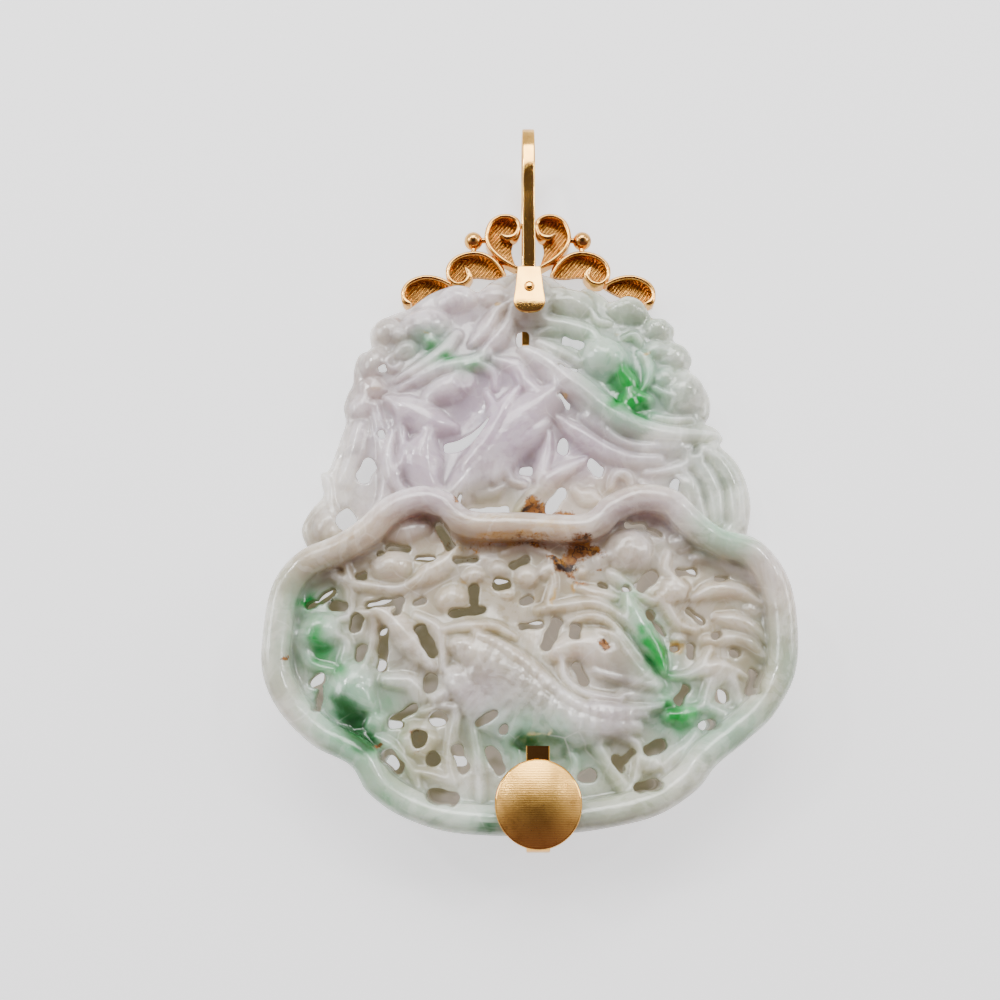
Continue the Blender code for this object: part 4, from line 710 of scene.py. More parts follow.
# Clouds of colour: across, up, half long, half wide, turn, strength
tones = {
    "green": [
        (11.9, 55.2, 1.8, 1.5, 0, 1.0), (12.4, 53.3, 2.3, 1.8, -50, 1.0),
        (11.0, 52.2, 1.6, 1.1, 20, 0.9), (13.2, 51.0, 1.5, 1.1, 0, 0.75),
        (-12.3, 59.8, 0.9, 1.0, 0, 0.5), (-9.8, 57.8, 1.5, 0.6, 5, 0.55),
        (-6.9, 56.8, 1.5, 0.6, 15, 0.45), (-25.2, 26.9, 0.9, 0.6, 25, 1.0),
        (-24.8, 27.6, 0.5, 0.5, 0, 0.7), (-23.9, 22.9, 1.0, 2.2, 10, 0.62),
        (-22.8, 20.6, 1.5, 2.2, 30, 0.45), (-21.1, 19.6, 0.9, 0.8, 0, 0.4),
        (12.0, 24.1, 0.6, 0.5, 0, 0.5), (13.0, 22.4, 0.7, 0.6, 0, 0.45),
        (13.9, 20.8, 2.3, 1.2, -60, 0.85), (12.9, 22.9, 2.9, 1.1, -60, 0.34),
        (16.8, 14.6, 1.5, 1.2, -20, 0.66), (15.1, 14.7, 1.0, 1.2, 0, 0.8),
        (14.6, 16.8, 1.6, 0.8, 90, 0.3), (16.0, 13.2, 1.2, 0.7, 0, 0.4),
        (21.8, 35.0, 1.4, 0.8, -30, 0.3), (-16.2, 16.2, 1.6, 1.2, 0, 0.22),
        (-18.6, 13.6, 2.0, 2.4, 40, 0.3), (-15.2, 5.9, 0.9, 0.7, 0, 0.3),
        (-18.6, 11.4, 2.2, 0.7, -20, 0.45)],
    "dark": [
        (-20.9, 15.8, 1.1, 1.5, 25, 1.0), (-19.7, 14.0, 1.3, 2.3, 32, 1.0),
        (-18.4, 12.4, 1.3, 1.2, 0, 0.9), (-18.1, 11.4, 0.9, 0.7, 0, 0.8),
        (-0.9, 11.6, 1.9, 1.0, -10, 0.95), (1.7, 12.3, 2.2, 0.8, -15, 0.6),
        (3.4, 10.6, 1.9, 1.0, -45, 0.35), (-4.6, 3.2, 1.5, 1.2, 0, 0.75),
        (15.0, 14.9, 0.7, 0.6, 0, 0.5), (13.9, 11.7, 1.0, 0.7, 20, 0.5),
        (-23.6, 17.4, 0.6, 1.6, 0, 0.5), (6.1, 8.4, 1.2, 0.9, 0, 0.3)],
    "celadon": [
        (10.2, 57.6, 4.0, 4.2, 0, 0.85), (13.6, 55.6, 2.6, 4.2, 0, 0.7),
        (13.2, 51.6, 2.4, 2.2, 0, 0.8), (8.0, 63.6, 7.5, 4.6, 0, 0.35),
        (17.0, 57.0, 5.5, 8.0, 0, 0.3), (22.0, 43.0, 4.5, 6.5, 0, 0.36),
        (-12.4, 60.4, 3.2, 1.6, 20, 0.6), (-8.6, 57.6, 3.8, 1.0, 10, 0.55),
        (-24.0, 23.4, 2.8, 5.0, 0, 0.75), (-19.9, 17.2, 3.6, 2.8, 60, 0.8),
        (-18.6, 9.6, 6.4, 3.0, -40, 0.55), (-12.0, 4.4, 9.0, 2.2, -12, 0.5),
        (9.0, 5.4, 10.0, 2.4, 8, 0.3), (12.5, 24.2, 4.6, 1.5, -62, 0.9),
        (11.0, 28.0, 1.4, 1.4, 0, 0.55), (17.2, 14.4, 4.6, 3.4, 0, 0.6),
        (22.4, 12.6, 5.4, 2.6, 35, 0.65), (28.0, 18.6, 2.4, 8.0, 15, 0.4),
        (-28.2, 24.0, 2.0, 8.0, 0, 0.2), (-1.6, 12.4, 5.2, 2.6, 0, 0.55),
        (21.6, 34.6, 3.4, 2.4, -30, 0.8), (1.8, 9.6, 5.0, 2.4, 0, 0.5),
        (-16.4, 15.4, 2.8, 2.2, 0, 0.5), (4.6, 60.6, 3.0, 2.6, 0, 0.4)],
    "lilac": [
        (-9.6, 64.4, 8.0, 4.6, 0, 0.55), (-4.0, 53.0, 9.0, 8.0, 0, 0.85),
        (2.6, 47.0, 9.0, 6.0, -20, 0.95), (-12.4, 45.4, 6.0, 7.0, 0, 0.8),
        (-18.4, 52.4, 4.6, 8.0, 0, 0.45), (12.0, 37.6, 8.0, 2.8, 0, 0.5),
        (-13.0, 37.6, 7.0, 2.8, 0, 0.5), (8.6, 14.4, 5.0, 2.6, 0, 0.4),
        (-6.0, 16.6, 3.6, 3.0, 0, 0.35), (24.6, 25.0, 3.0, 2.4, 0, 0.3),
        (15.0, 44.0, 6.0, 3.0, 0, 0.35), (26.6, 31.2, 2.6, 2.6, 0, 0.4)],
    "warm": [
        (0.0, 27.6, 21.0, 7.0, 0, 0.8), (-2.0, 35.0, 9.0, 1.7, 0, 0.95),
        (-24.2, 31.0, 4.0, 3.4, 40, 0.55), (20.4, 26.0, 7.0, 6.0, 0, 0.7),
        (7.6, 40.6, 8.0, 2.6, 0, 0.6), (-1.0, 64.6, 4.6, 4.4, 0, 0.45),
        (-16.0, 34.0, 6.0, 4.0, 0, 0.6), (-7.0, 33.4, 4.6, 1.4, 0, 0.9),
        (-13.2, 11.0, 3.6, 3.6, 0, 0.5), (8.6, 6.0, 3.4, 1.8, 0, 0.4),
        (-19.2, 54.8, 2.0, 2.4, 0, 0.4), (-24.6, 37.0, 2.4, 2.4, 0, 0.35),
        (25.0, 19.0, 1.6, 5.0, 0, 0.5), (-17.4, 35.2, 1.4, 1.6, 0, 0.5),
        (2.6, 21.4, 4.4, 2.4, 0, 0.35)],
    "olive": [
        (-27.6, 24.0, 2.4, 9.0, 0, 0.26), (-26.6, 15.6, 2.6, 4.0, 40, 0.3),
        (3.0, 50.0, 3.0, 4.0, 20, 0.25), (9.0, 41.0, 6.0, 3.0, 0, 0.3), (-18.0, 60.0, 3.0, 3.0, 0, 0.3),
        (-14.0, 31.0, 9.0, 5.0, 0, 0.3), (-12.4, 11.0, 6.0, 4.4, 0, 0.7),
        (0.0, 27.0, 12.0, 5.0, 0, 0.45), (11.0, 8.6, 6.0, 4.0, 0, 0.55),
        (19.0, 25.0, 6.0, 6.0, 0, 0.35), (5.6, 62.0, 6.0, 4.0, 0, 0.3),
        (24.4, 20.0, 2.6, 6.0, 10, 0.45), (8.0, 66.0, 8.0, 2.6, 0, 0.35)],
    "rust": [
        (0.7, 38.2, 1.7, 0.8, 0, 1.0), (-0.2, 39.5, 0.8, 1.1, 0, 1.0),
        (2.4, 38.5, 2.4, 1.0, -12, 1.0), (4.6, 38.0, 1.5, 0.6, 0, 0.9),
        (5.3, 37.1, 2.3, 0.6, -8, 0.45), (5.3, 33.5, 1.3, 1.0, -30, 1.0),
        (6.8, 33.0, 1.8, 0.8, -15, 1.0), (4.4, 32.1, 1.1, 1.1, 0, 1.0),
        (3.7, 30.8, 1.3, 0.7, 0, 1.0), (2.3, 32.0, 1.3, 0.35, -45, 1.0),
        (4.6, 30.0, 0.6, 0.5, 0, 0.8), (7.9, 30.8, 1.0, 0.3, 10, 0.6),
        (9.4, 32.0, 0.6, 0.3, 0, 0.45), (5.8, 29.3, 0.9, 0.5, 0, 0.75),
        (-9.9, 34.4, 0.5, 0.7, 0, 0.6), (-8.3, 38.9, 0.5, 1.1, -12, 1.0),
        (-2.6, 34.1, 6.0, 0.7, 2, 0.42), (0.8, 33.7, 2.8, 0.5, -6, 0.55),
        (-16.8, 11.6, 0.5, 0.4, 0, 0.9), (-13.1, 13.1, 0.5, 0.4, -30, 0.7),
        (-12.2, 10.8, 0.7, 0.35, 0, 0.5), (-12.3, 27.5, 0.6, 0.35, 0, 0.7),
        (16.0, 22.1, 0.5, 0.4, 0, 0.65), (7.8, 22.3, 0.75, 0.65, 0, 1.0),
        (-27.1, 20.3, 0.38, 0.38, 0, 1.0), (-5.3, 14.0, 0.5, 0.4, 0, 0.45),
        (-1.4, 27.3, 0.3, 0.4, 0, 0.5), (14.6, 22.4, 0.7, 0.4, -50, 0.4),
        (0.9, 29.2, 0.4, 0.3, 0, 0.45), (-6.6, 33.0, 2.6, 0.5, 0, 0.35)],
    "blot": [
        (3.8, 30.9, 1.2, 0.5, 0, 1.0), (4.8, 31.2, 0.7, 0.5, 20, 0.9),
        (6.2, 32.4, 0.7, 0.3, 0, 0.8), (2.2, 32.1, 1.1, 0.2, -45, 0.8),
        (-0.4, 38.9, 0.35, 0.6, 0, 0.8), (3.8, 33.9, 0.3, 0.3, 0, 0.7),
        (0.9, 37.6, 1.6, 0.2, -3, 0.5), (-8.5, 38.6, 0.25, 0.4, 0, 0.7)],
    "yellow": [
        (-3.0, 34.2, 7.0, 0.6, 2, 0.62), (2.6, 35.4, 4.0, 0.5, -4, 0.5),
        (-20.6, 34.0, 4.0, 1.2, 30, 0.32), (-4.6, 36.3, 6.0, 0.5, 0, 0.4),
        (-3.65, 65.0, 0.5, 0.4, 0, 0.8), (11.15, 61.7, 0.6, 0.45, 0, 0.5),
        (14.6, 58.6, 0.5, 0.35, 0, 0.7), (-12.5, 61.2, 1.0, 0.3, -15, 0.5),
        (-18.8, 54.2, 1.3, 0.5, 0, 0.45), (4.1, 52.6, 0.8, 0.22, -50, 0.8),
        (2.4, 27.5, 0.3, 1.2, 0, 0.8), (4.5, 28.9, 0.3, 0.8, 0, 0.75),
        (-7.9, 29.4, 0.6, 0.35, -40, 0.5), (11.2, 43.2, 0.35, 0.3, 0, 0.4),
        (21.6, 36.6, 0.4, 1.3, 25, 0.35), (0.3, 27.4, 0.3, 0.3, 0, 0.5),
        (-12.4, 12.0, 1.3, 1.3, 0, 0.35), (17.0, 29.0, 0.4, 0.3, 0, 0.3),
        (16.0, 22.2, 1.0, 0.8, 0, 0.9)]}


def cloud(name, x, v, spread=1.0, weight=1.0):
    # How strongly each point is taken by a tone's clouds
    clear = np.ones(len(x))
    for across, up, long, wide, turn, strength in tones[name]:
        c, s = math.cos(math.radians(turn)), math.sin(math.radians(turn))
        a = ((x - across) * c + (v - up) * s) / (long * spread)
        b = ((v - up) * c - (x - across) * s) / (wide * spread)
        clear *= 1 - strength * weight * np.exp(-0.85 * (a * a + b * b) ** 1.15)
    return 1 - clear


def heightAt(relief, x, v):
    # The relief's height at each point
    column = np.clip(((x - acrosses[0]) / stone["grid"]).astype(int), 0, len(acrosses) - 1)
    row = np.clip(((v - ups[0]) / stone["grid"]).astype(int), 0, len(ups) - 1)
    return relief[row, column]


def paintTones(mesh, places, plaqueBroad, panelBroad):
    x, v, z = places.T
    wx = x + 0.22 * np.sin(1.9 * v + 0.8 * z) + 0.12 * np.sin(4.3 * v + 2.0 * x)
    wv = v + 0.22 * np.sin(1.7 * x + 0.6 * z) + 0.12 * np.sin(3.9 * x - 1.7 * v)
    # The inside mask marks the cavity's walls, which get painted shade and a painted glow
    inside = np.clip((6.8 - z) / 0.8, 0, 1) * np.clip((z - 1.0) / 1.2, 0, 1)
    inside *= np.clip(1.3 - np.hypot(x / 27.0, (v - 20.5) / 17.0), 0, 0.25) * 4
    pouchShare = np.clip((z - 6.4) / 0.5, 0, 1)
    level = np.where(pouchShare > 0.5, heightAt(panelBroad, x, v), heightAt(plaqueBroad, x, v))
    # Painted shade: points lying below the broad forms, in the recesses, are marked to be tinted darker
    # olive
    recessShade = np.clip((level + 0.15 - z) / 1.1, 0, 1) * np.clip((z - 1.6) / 1.5, 0, 1)
    halo = np.maximum(cloud("green", wx, wv, 2.1, 0.7), cloud("dark", wx, wv, 2.3, 0.8))
    found = {name: cloud(name, wx, wv) for name in tones}
    found["celadon"] = 1 - (1 - found["celadon"]) * (1 - halo)
    sets = {"veins": (found["green"], found["dark"], found["celadon"]),
            "grounds": (found["lilac"], found["warm"], inside),
            "stains": (found["rust"], found["blot"], found["yellow"]),
            "depths": (recessShade, pouchShare, found["olive"])}
    for name, channels in sets.items():
        colours = np.ones((len(x), 4), np.float32)
        for index, values in enumerate(channels):
            colours[:, index] = values
        layer = mesh.attributes.new(name, "FLOAT_COLOR", "POINT")
        layer.data.foreach_set("color", colours.ravel())


class Wire:
    # A socket that can stand in sums
    def __init__(self, graph, socket):
        self.graph = graph
        self.socket = socket

    def sum(self, operation, first, second):
        return self.graph.node("ShaderNodeMath", {"operation": operation}, {0: first, 1: second})

    def __add__(self, other):
        return self.sum("ADD", self, other)

    def __sub__(self, other):
        return self.sum("SUBTRACT", self, other)

    def __rsub__(self, other):
        return self.sum("SUBTRACT", other, self)

    def __mul__(self, other):
        return self.sum("MULTIPLY", self, other)

    __radd__ = __add__
    __rmul__ = __mul__

    def output(self, key):
        return Wire(self.graph, self.socket.node.outputs[key])


class Graph:
    # The nodes of one material, or of the room's light
    def __init__(self, owner):
        owner.use_nodes = True
        self.owner = owner
        self.tree = owner.node_tree
        self.tree.nodes.clear()

    def node(self, kind, settings=None, values=None, output=0):
        made = self.tree.nodes.new(kind)
        for key, value in (settings or {}).items():
            setattr(made, key, value)
        for key, value in (values or {}).items():
            if isinstance(value, Wire):
                self.tree.links.new(value.socket, made.inputs[key])
            else:
                made.inputs[key].default_value = value
        return Wire(self, made.outputs[output]) if made.outputs else None

    def place(self):
        return self.node("ShaderNodeTexCoord", output="Object")

    def noise(self, place, scale, detail=3.0, roughness=0.5):
        return self.node("ShaderNodeTexNoise", {}, {
            "Vector": place, "Scale": scale, "Detail": detail, "Roughness": roughness})

    def step(self, value, low, high):
        return self.node("ShaderNodeMapRange", {"interpolation_type": "SMOOTHSTEP"},
                         {0: value, 1: low, 2: high})

    def blend(self, share, first, second):
        colours = [c if isinstance(c, Wire) else (*c, 1.0) for c in (first, second)]
        return self.node("ShaderNodeMix", {"data_type": "RGBA"},
                         {0: share, 6: colours[0], 7: colours[1]}, 2)

    def channels(self, attribute):
        colour = self.node("ShaderNodeAttribute", {"attribute_name": attribute})
        split = self.node("ShaderNodeSeparateColor", {}, {0: colour})
        return split, split.output(1), split.output(2)

    def bump(self, height, distance, strength, under=None):
        values = {"Height": height, "Distance": distance, "Strength": strength}
        if under:
            values["Normal"] = under
        return self.node("ShaderNodeBump", {}, values)

    def finish(self, surface, kind="ShaderNodeOutputMaterial"):
        self.node(kind, {}, {"Surface": surface})
        return self.owner


jadeLook = {
    "pale": (0.36, 0.34, 0.30), "cloud": (0.71, 0.675, 0.64), "smoke": (0.26, 0.25, 0.21),
    "lilac": (0.51, 0.39, 0.50),
    "warm": (0.50, 0.365, 0.265), "celadon": (0.26, 0.46, 0.33), "green": (0.006, 0.27, 0.05),
    # The inside colours are painted shade: the cavity's walls darkened, dark or pale by patches, as seen
    # through the openings
    "deepGreen": (0.012, 0.10, 0.022), "inside": (0.24, 0.21, 0.11),
    "paleCavityShade": (0.45, 0.38, 0.32), "yellow": (0.50, 0.30, 0.06),
    "olive": (0.37, 0.345, 0.22), "rust": (0.22, 0.075, 0.008), "blot": (0.020, 0.007, 0.003),
    # The cavity's glow colours are painted light: they make its inner walls glow as if lit through the
    # openings
    "amber": (0.44, 0.20, 0.03), "vein": (0.84, 0.83, 0.81), "cavityPaintedLight": (0.12, 0.105, 0.065),
    "paleCavityPaintedLight": (0.28, 0.255, 0.22),
    "gloss": 0.19, "glow": 1.0, "glowDepth": 0.0045}


def jadeColour(g, place, noises):
    # The stone's colour, from its painted tones and its fine clouds, with painted shade in the recesses
    # and the cavity; also the cavity's painted glow
    look = jadeLook
    broad, fine, grain = noises
    green, dark, celadon = g.channels("veins")
    lilac, warm, inside = g.channels("grounds")
    yellow = g.channels("stains")[2]
    recessShade, pouchShare, olive = g.channels("depths")
    colour = g.blend(g.step(broad * 0.6 + fine * 0.4, 0.4, 0.6), look["pale"], look["cloud"])
    wisp = g.node("ShaderNodeTexNoise", {}, {
        "Vector": place, "Scale": 170.0, "Detail": 4.0, "Roughness": 0.6, "Distortion": 0.7})
    colour = g.blend(g.step(wisp, 0.5, 0.7) * 0.45, colour, look["smoke"])
    colour = g.blend(lilac * (0.6 + fine * 0.5), colour, look["lilac"])
    colour = g.blend(warm * (0.5 + broad * 0.6), colour, look["warm"])
    colour = g.blend(olive * (0.5 + fine * 0.6), colour, look["olive"])
    # Painted shade: recesses tinted towards olive, more strongly in the pouch
    colour = g.blend(recessShade * (0.15 + pouchShare * 0.5), colour, look["olive"])
    colour = g.blend(celadon * (0.6 + fine * 0.5), colour, look["celadon"])
    fromLine = (wisp - 0.47) * (wisp - 0.47)
    colour = g.blend(g.step(fromLine, 0.0035, 0.0) * 0.16, colour, look["vein"])
    # Painted shade: the cavity's inner walls are darkened to dark or pale olive
    patch = g.step(broad, 0.42, 0.54)
    colour = g.blend(inside * 0.9, colour, g.blend(patch, look["inside"], look["paleCavityShade"]))
    colour = g.blend(g.step(green + (fine - 0.5) * 0.35, -0.05, 0.85), colour, look["green"])
    colour = g.blend(g.step(dark + (fine - 0.5) * 0.35, -0.02, 1.0), colour, look["deepGreen"])
    colour = g.blend(g.step(yellow + (grain - 0.5) * 0.5, 0.2, 0.8) * 0.75, colour, look["yellow"])
    speck = g.node("ShaderNodeTexVoronoi", {"feature": "DISTANCE_TO_EDGE"},
                   {"Vector": place, "Scale": 260.0, "Randomness": 1.0})
    crack = g.step(speck, 0.04, 0.0) * g.step(broad, 0.5, 0.7) * 0.3
    # Painted light: the cavity's inner walls glow, darker or paler by patches
    paintedCavityLight = g.blend(patch, look["cavityPaintedLight"], look["paleCavityPaintedLight"])
    return g.blend(crack, colour, look["vein"]), g.blend(inside, (0.0, 0.0, 0.0), paintedCavityLight), inside


def jadeMaterial():
    look = jadeLook
    g = Graph(bpy.data.materials.new("carvedJade"))
    place = g.place()
    fine = g.noise(place, 520.0, 4.0, 0.6)
    grain = g.noise(place, 2600.0, 3.0, 0.6)
    colour, paintedCavityLight, inside = jadeColour(g, place, (g.noise(place, 110.0, 3.0, 0.55), fine, grain))
    ripple = g.noise(place, 700.0, 2.0, 0.5)
    relief = g.bump(ripple, 0.0002, 0.4)
    relief = g.bump(grain, 0.00002, 0.25, relief)
    gloss = look["gloss"] + (fine - 0.5) * 0.12 + inside * 0.3
    # Its emission is the cavity's painted glow
    body = g.node("ShaderNodeBsdfPrincipled", {"subsurface_method": "RANDOM_WALK"}, {
        "Base Color": colour, "Roughness": gloss, "Normal": relief, "IOR": 1.66,
        "Subsurface Weight": look["glow"], "Subsurface Radius": (1.0, 0.97, 0.85),
        "Subsurface Scale": look["glowDepth"], "Subsurface Anisotropy": 0.3,
        "Emission Color": paintedCavityLight, "Emission Strength": 1.0})
    rust, blot, _ = g.channels("stains")
    stain = g.blend(g.step(blot + (grain - 0.5) * 0.9 + (fine - 0.5) * 0.5, 0.25, 0.7),
                    look["rust"], look["blot"])
    stain = g.blend(g.step(fine, 0.48, 0.62) * 0.7, stain, look["amber"])
    thread = g.noise(place, 560.0, 3.0, 0.6) - 0.5
    stain = g.blend(g.step(thread * thread, 0.0011, 0.0) * 0.75, stain, look["blot"])
    crust = g.node("ShaderNodeBsdfPrincipled", {}, {
        "Base Color": stain, "Roughness": 0.5, "Normal": relief})
    cover = g.step(rust + (fine - 0.5) * 1.2 + (grain - 0.5) * 0.9, 0.34, 0.8)
    surface = g.node("ShaderNodeMixShader", {}, {0: cover, 1: body, 2: crust})
    material = g.finish(surface)
    material.cycles.emission_sampling = "NONE"  # its painted glow in the cavity is too faint to light other things
    return material


goldLook = {
    "bright": (0.88, 0.50, 0.12), "copper": (0.76, 0.41, 0.11), "red": (0.50, 0.235, 0.05),
    "sootAndShade": (0.07, 0.024, 0.006), "gloss": 0.09}


def goldMaterial(name, grimeAndPaintedShade=0.2, lines=None, gloss=None, base="bright"):
    # Polished gold; lines gives the turn, spacing and depth of an engraved hatching. Its darker blotches
    # and hatch grooves are partly grime, partly painted shade and dark reflection
    look = goldLook
    g = Graph(bpy.data.materials.new(name))
    place = g.place()
    broad = g.noise(place, 420.0, 3.0, 0.55)
    fine = g.noise(place, 3800.0, 4.0, 0.65)
    colour = g.blend(g.step(broad, 0.35, 0.75) * 0.55, look[base], look["red"])
    relief = g.bump(fine, 0.00002, 0.25)
    # Blotches darkened towards soot: partly grime, partly painted shade and dark reflection
    shade = g.step(fine * 0.5 + broad * 0.5, 0.5, 0.72) * grimeAndPaintedShade
    if lines:
        turn, spacing, depth = lines
        turned = g.node("ShaderNodeMapping", {}, {
            "Vector": place, "Rotation": (0.0, 0.0, math.radians(turn))})
        wave = g.node("ShaderNodeTexWave", {"bands_direction": "X", "wave_profile": "SIN"}, {
            "Vector": turned, "Scale": math.tau / 20 / spacing * 1000, "Distortion": 1.8,
            "Detail": 2.0, "Detail Scale": 2.0})
        relief = g.bump(wave, depth * mm, 0.8, relief)
        # Painted shade: the hatch grooves darkened
        shade = shade + (1 - g.step(wave.output(1), 0.1, 0.6)) * (grimeAndPaintedShade * 0.5)
    colour = g.blend(shade, colour, look["sootAndShade"])
    rough = (gloss or look["gloss"]) + (fine - 0.5) * 0.1
    surface = g.node("ShaderNodeBsdfPrincipled", {}, {
        "Base Color": colour, "Metallic": 1.0, "Roughness": rough, "Normal": relief})
    return g.finish(surface)


def meshObject(name, points, faces, material, smooth=50):
    mesh = bpy.data.meshes.new(name)
    mesh.from_pydata([tuple(p) for p in points], [], [tuple(f) for f in faces])
    form = bmesh.new()
    form.from_mesh(mesh)
    bmesh.ops.recalc_face_normals(form, faces=form.faces)
    form.to_mesh(mesh)
    form.free()
    mesh.materials.append(material)
    mesh.shade_smooth()
    mesh.set_sharp_from_angle(angle=math.radians(smooth))
    item = bpy.data.objects.new(name, mesh)
    bpy.context.scene.collection.objects.link(item)
    return item


def joined(name, items):
    # Several objects made into one mesh, each face keeping its material
    form = bmesh.new()
    materials = []
    for item in items:
        start = len(form.faces)
        form.from_mesh(item.data)
        form.faces.ensure_lookup_table()
        material = item.data.materials[0]
        if material not in materials:
            materials.append(material)
        for index in range(start, len(form.faces)):
            form.faces[index].material_index = materials.index(material)
    mesh = bpy.data.meshes.new(name)
    form.to_mesh(mesh)
    form.free()
    for material in materials:
        mesh.materials.append(material)
    for item in items:
        bpy.data.objects.remove(item, do_unlink=True)
    result = bpy.data.objects.new(name, mesh)
    bpy.context.scene.collection.objects.link(result)
    return result


def roundedSection(wide, thick, corner, steps=4):
    # A rectangle with round corners, centred
    points = []
    for sx, sy, start in ((1, 1, 0), (-1, 1, 90), (-1, -1, 180), (1, -1, 270)):
        for i in range(steps + 1):
            angle = math.radians(start + 90 * i / steps)
            points.append((sx * (wide / 2 - corner) + corner * math.cos(angle),
                           sy * (thick / 2 - corner) + corner * math.sin(angle)))
    return points


def sweep(name, path, across, section, material, taper=None):
    # Move a section along a path; its first measure lies along the across direction
    path = [Vector(p) for p in path]
    side = Vector(across)
    points = []
    for i, p in enumerate(path):
        ahead = (path[min(i + 1, len(path) - 1)] - path[max(i - 1, 0)]).normalized()
        up = ahead.cross(side).normalized()
        size = taper(i / (len(path) - 1)) if taper else (1.0, 1.0)
        for a, b in section:
            points.append((p + side * a * size[0] + up * b * size[1]) * mm)
    n = len(section)
    faces = []
    for i in range(len(path) - 1):
        for j in range(n):
            k = (j + 1) % n
            faces.append((i * n + j, i * n + k, (i + 1) * n + k, (i + 1) * n + j))
    faces.append(tuple(range(n))[::-1])
    last = (len(path) - 1) * n
    faces.append(tuple(range(last, last + n)))
    return meshObject(name, points, faces, material)


def plate(name, outline, low, high, corner, material):
    # A flat plate with softened edges, from an outline in millimetres
    form = bmesh.new()
    verts = [form.verts.new((a * mm, b * mm, low * mm)) for a, b in outline]
    face = form.faces.new(verts)
    pushed = bmesh.ops.extrude_face_region(form, geom=[face])
    top = [v for v in pushed["geom"] if isinstance(v, bmesh.types.BMVert)]
    bmesh.ops.translate(form, verts=top, vec=(0, 0, (high - low) * mm))
    edges = [e for e in form.edges if all(v in top for v in e.verts)]
    if corner:
        bmesh.ops.bevel(form, geom=edges, offset=corner * mm, segments=3, affect="EDGES", profile=0.6)
        form.normal_update()
        face = max((f for f in form.faces if f.normal.z > 0.9), key=lambda f: f.calc_area())
        bmesh.ops.inset_region(form, faces=[face], thickness=0.06 * mm)  # keeps the face flat in the light
    bmesh.ops.recalc_face_normals(form, faces=form.faces)
    mesh = bpy.data.meshes.new(name)
    form.to_mesh(mesh)
    form.free()
    mesh.materials.append(material)
    mesh.shade_smooth()
    mesh.set_sharp_from_angle(angle=math.radians(35))
    item = bpy.data.objects.new(name, mesh)
    bpy.context.scene.collection.objects.link(item)
    return item


def turned(name, profile, middle, material, sides=96, smooth=40):
    # A turned piece from pairs of radius and height, about an upright line
    points = []
    for radius, height in profile:
        for i in range(sides):
            angle = math.tau * i / sides
            points.append(((middle[0] + radius * math.cos(angle)) * mm,
                           (middle[1] - middleUp + radius * math.sin(angle)) * mm, height * mm))
    faces = []
    for i in range(len(profile) - 1):
        for j in range(sides):
            k = (j + 1) % sides
            faces.append((i * sides + j, i * sides + k, (i + 1) * sides + k, (i + 1) * sides + j))
    faces.append(tuple(range(sides)))
    last = (len(profile) - 1) * sides
    faces.append(tuple(range(last, last + sides)))
    return meshObject(name, points, faces, material, smooth)


bail = {
    "wide": 1.6, "thick": 0.8, "corner": 0.2, "top": 88.78, "deep": 9.2, "strapEnd": 61.4,
    "tongueLow": 62.95, "tongueHigh": 69.0, "lowWide": 3.9, "highWide": 2.8, "face": 7.7,
    "tongueThick": 0.44, "rivetUp": 66.3, "rivetRadius": 0.65, "rivetDome": 0.2, "gap": 0.12}


def bailObjects(gold):
    b = bail
    half = b["thick"] / 2
    front = b["face"] - half
    back = b["gap"] + half
    leg = b["deep"] - half
    deep = leg - back
    tall = b["top"] - half - b["tongueHigh"]
    loop = [(0.35, back + 0.012 * deep), (0.7, back + 0.085 * deep), (0.91, back + 0.314 * deep),
            (1.0, back + 0.628 * deep), (0.945, leg - 0.109 * deep), (0.77, leg),
            (0.5, leg - 0.06 * deep), (0.2, front + 0.048 * deep)]
    path = ([(b["strapEnd"], back), (b["tongueHigh"], back)]
            + [(b["tongueHigh"] + share * tall, depth) for share, depth in loop]
            + [(b["tongueHigh"], front), (b["rivetUp"] + 0.65, front)])
    run = smoothRun(path, step=0.25)
    strip = sweep("bailStrip", [(0.0, up - middleUp, depth) for up, depth in run], (1, 0, 0),
                  roundedSection(b["wide"], b["thick"] - 0.02, b["corner"]), gold)
    low, high = b["lowWide"] / 2, b["highWide"] / 2
    foot = b["tongueLow"]
    side = [(high, b["tongueHigh"]), (high + 0.16, 67.6), (high + 0.32, 66.0), (low - 0.07, 64.9),
            (low - 0.01, foot + 1.35), (low - 0.14, foot + 0.85), (low - 0.48, foot + 0.4),
            (low - 1.0, foot + 0.12)]
    outline = side + [(0.0, b["tongueLow"])] + [(-a, u) for a, u in reversed(side)]
    outline = smoothRun(outline, step=0.2)
    tongue = plate("tongue", [(a, u - middleUp) for a, u in outline], b["face"] - b["tongueThick"],
                   b["face"], 0.16, gold)
    loopPiece = joined("bailLoop", [strip, tongue])
    seat = b["face"] + b["gap"] * 0.5
    r = b["rivetRadius"]
    top = seat + b["rivetDome"]
    profile = [(0.02, top - 0.03), (r * 0.55, top - 0.03), (r * 0.62, top - 0.05),
               (r * 0.7, top - 0.13), (r * 0.78, top - 0.05), (r * 0.86, top - 0.02),
               (r * 0.98, top - 0.12), (r, seat + 0.03),
               (r, seat - 0.02), (0.45, seat - 0.05), (0.45, 0.14), (0.02, 0.14)]
    rivet = turned("rivetHead", profile, (0.0, b["rivetUp"]), gold, 48)
    return loopPiece, rivet


gallery = {"back": 1.15, "tall": 2.1, "wire": 0.62, "floorLow": 1.25, "floorHigh": 1.8,
           "ball": 1.2, "ballAcross": 7.05, "ballUp": 75.25, "curlEnd": 1.55}

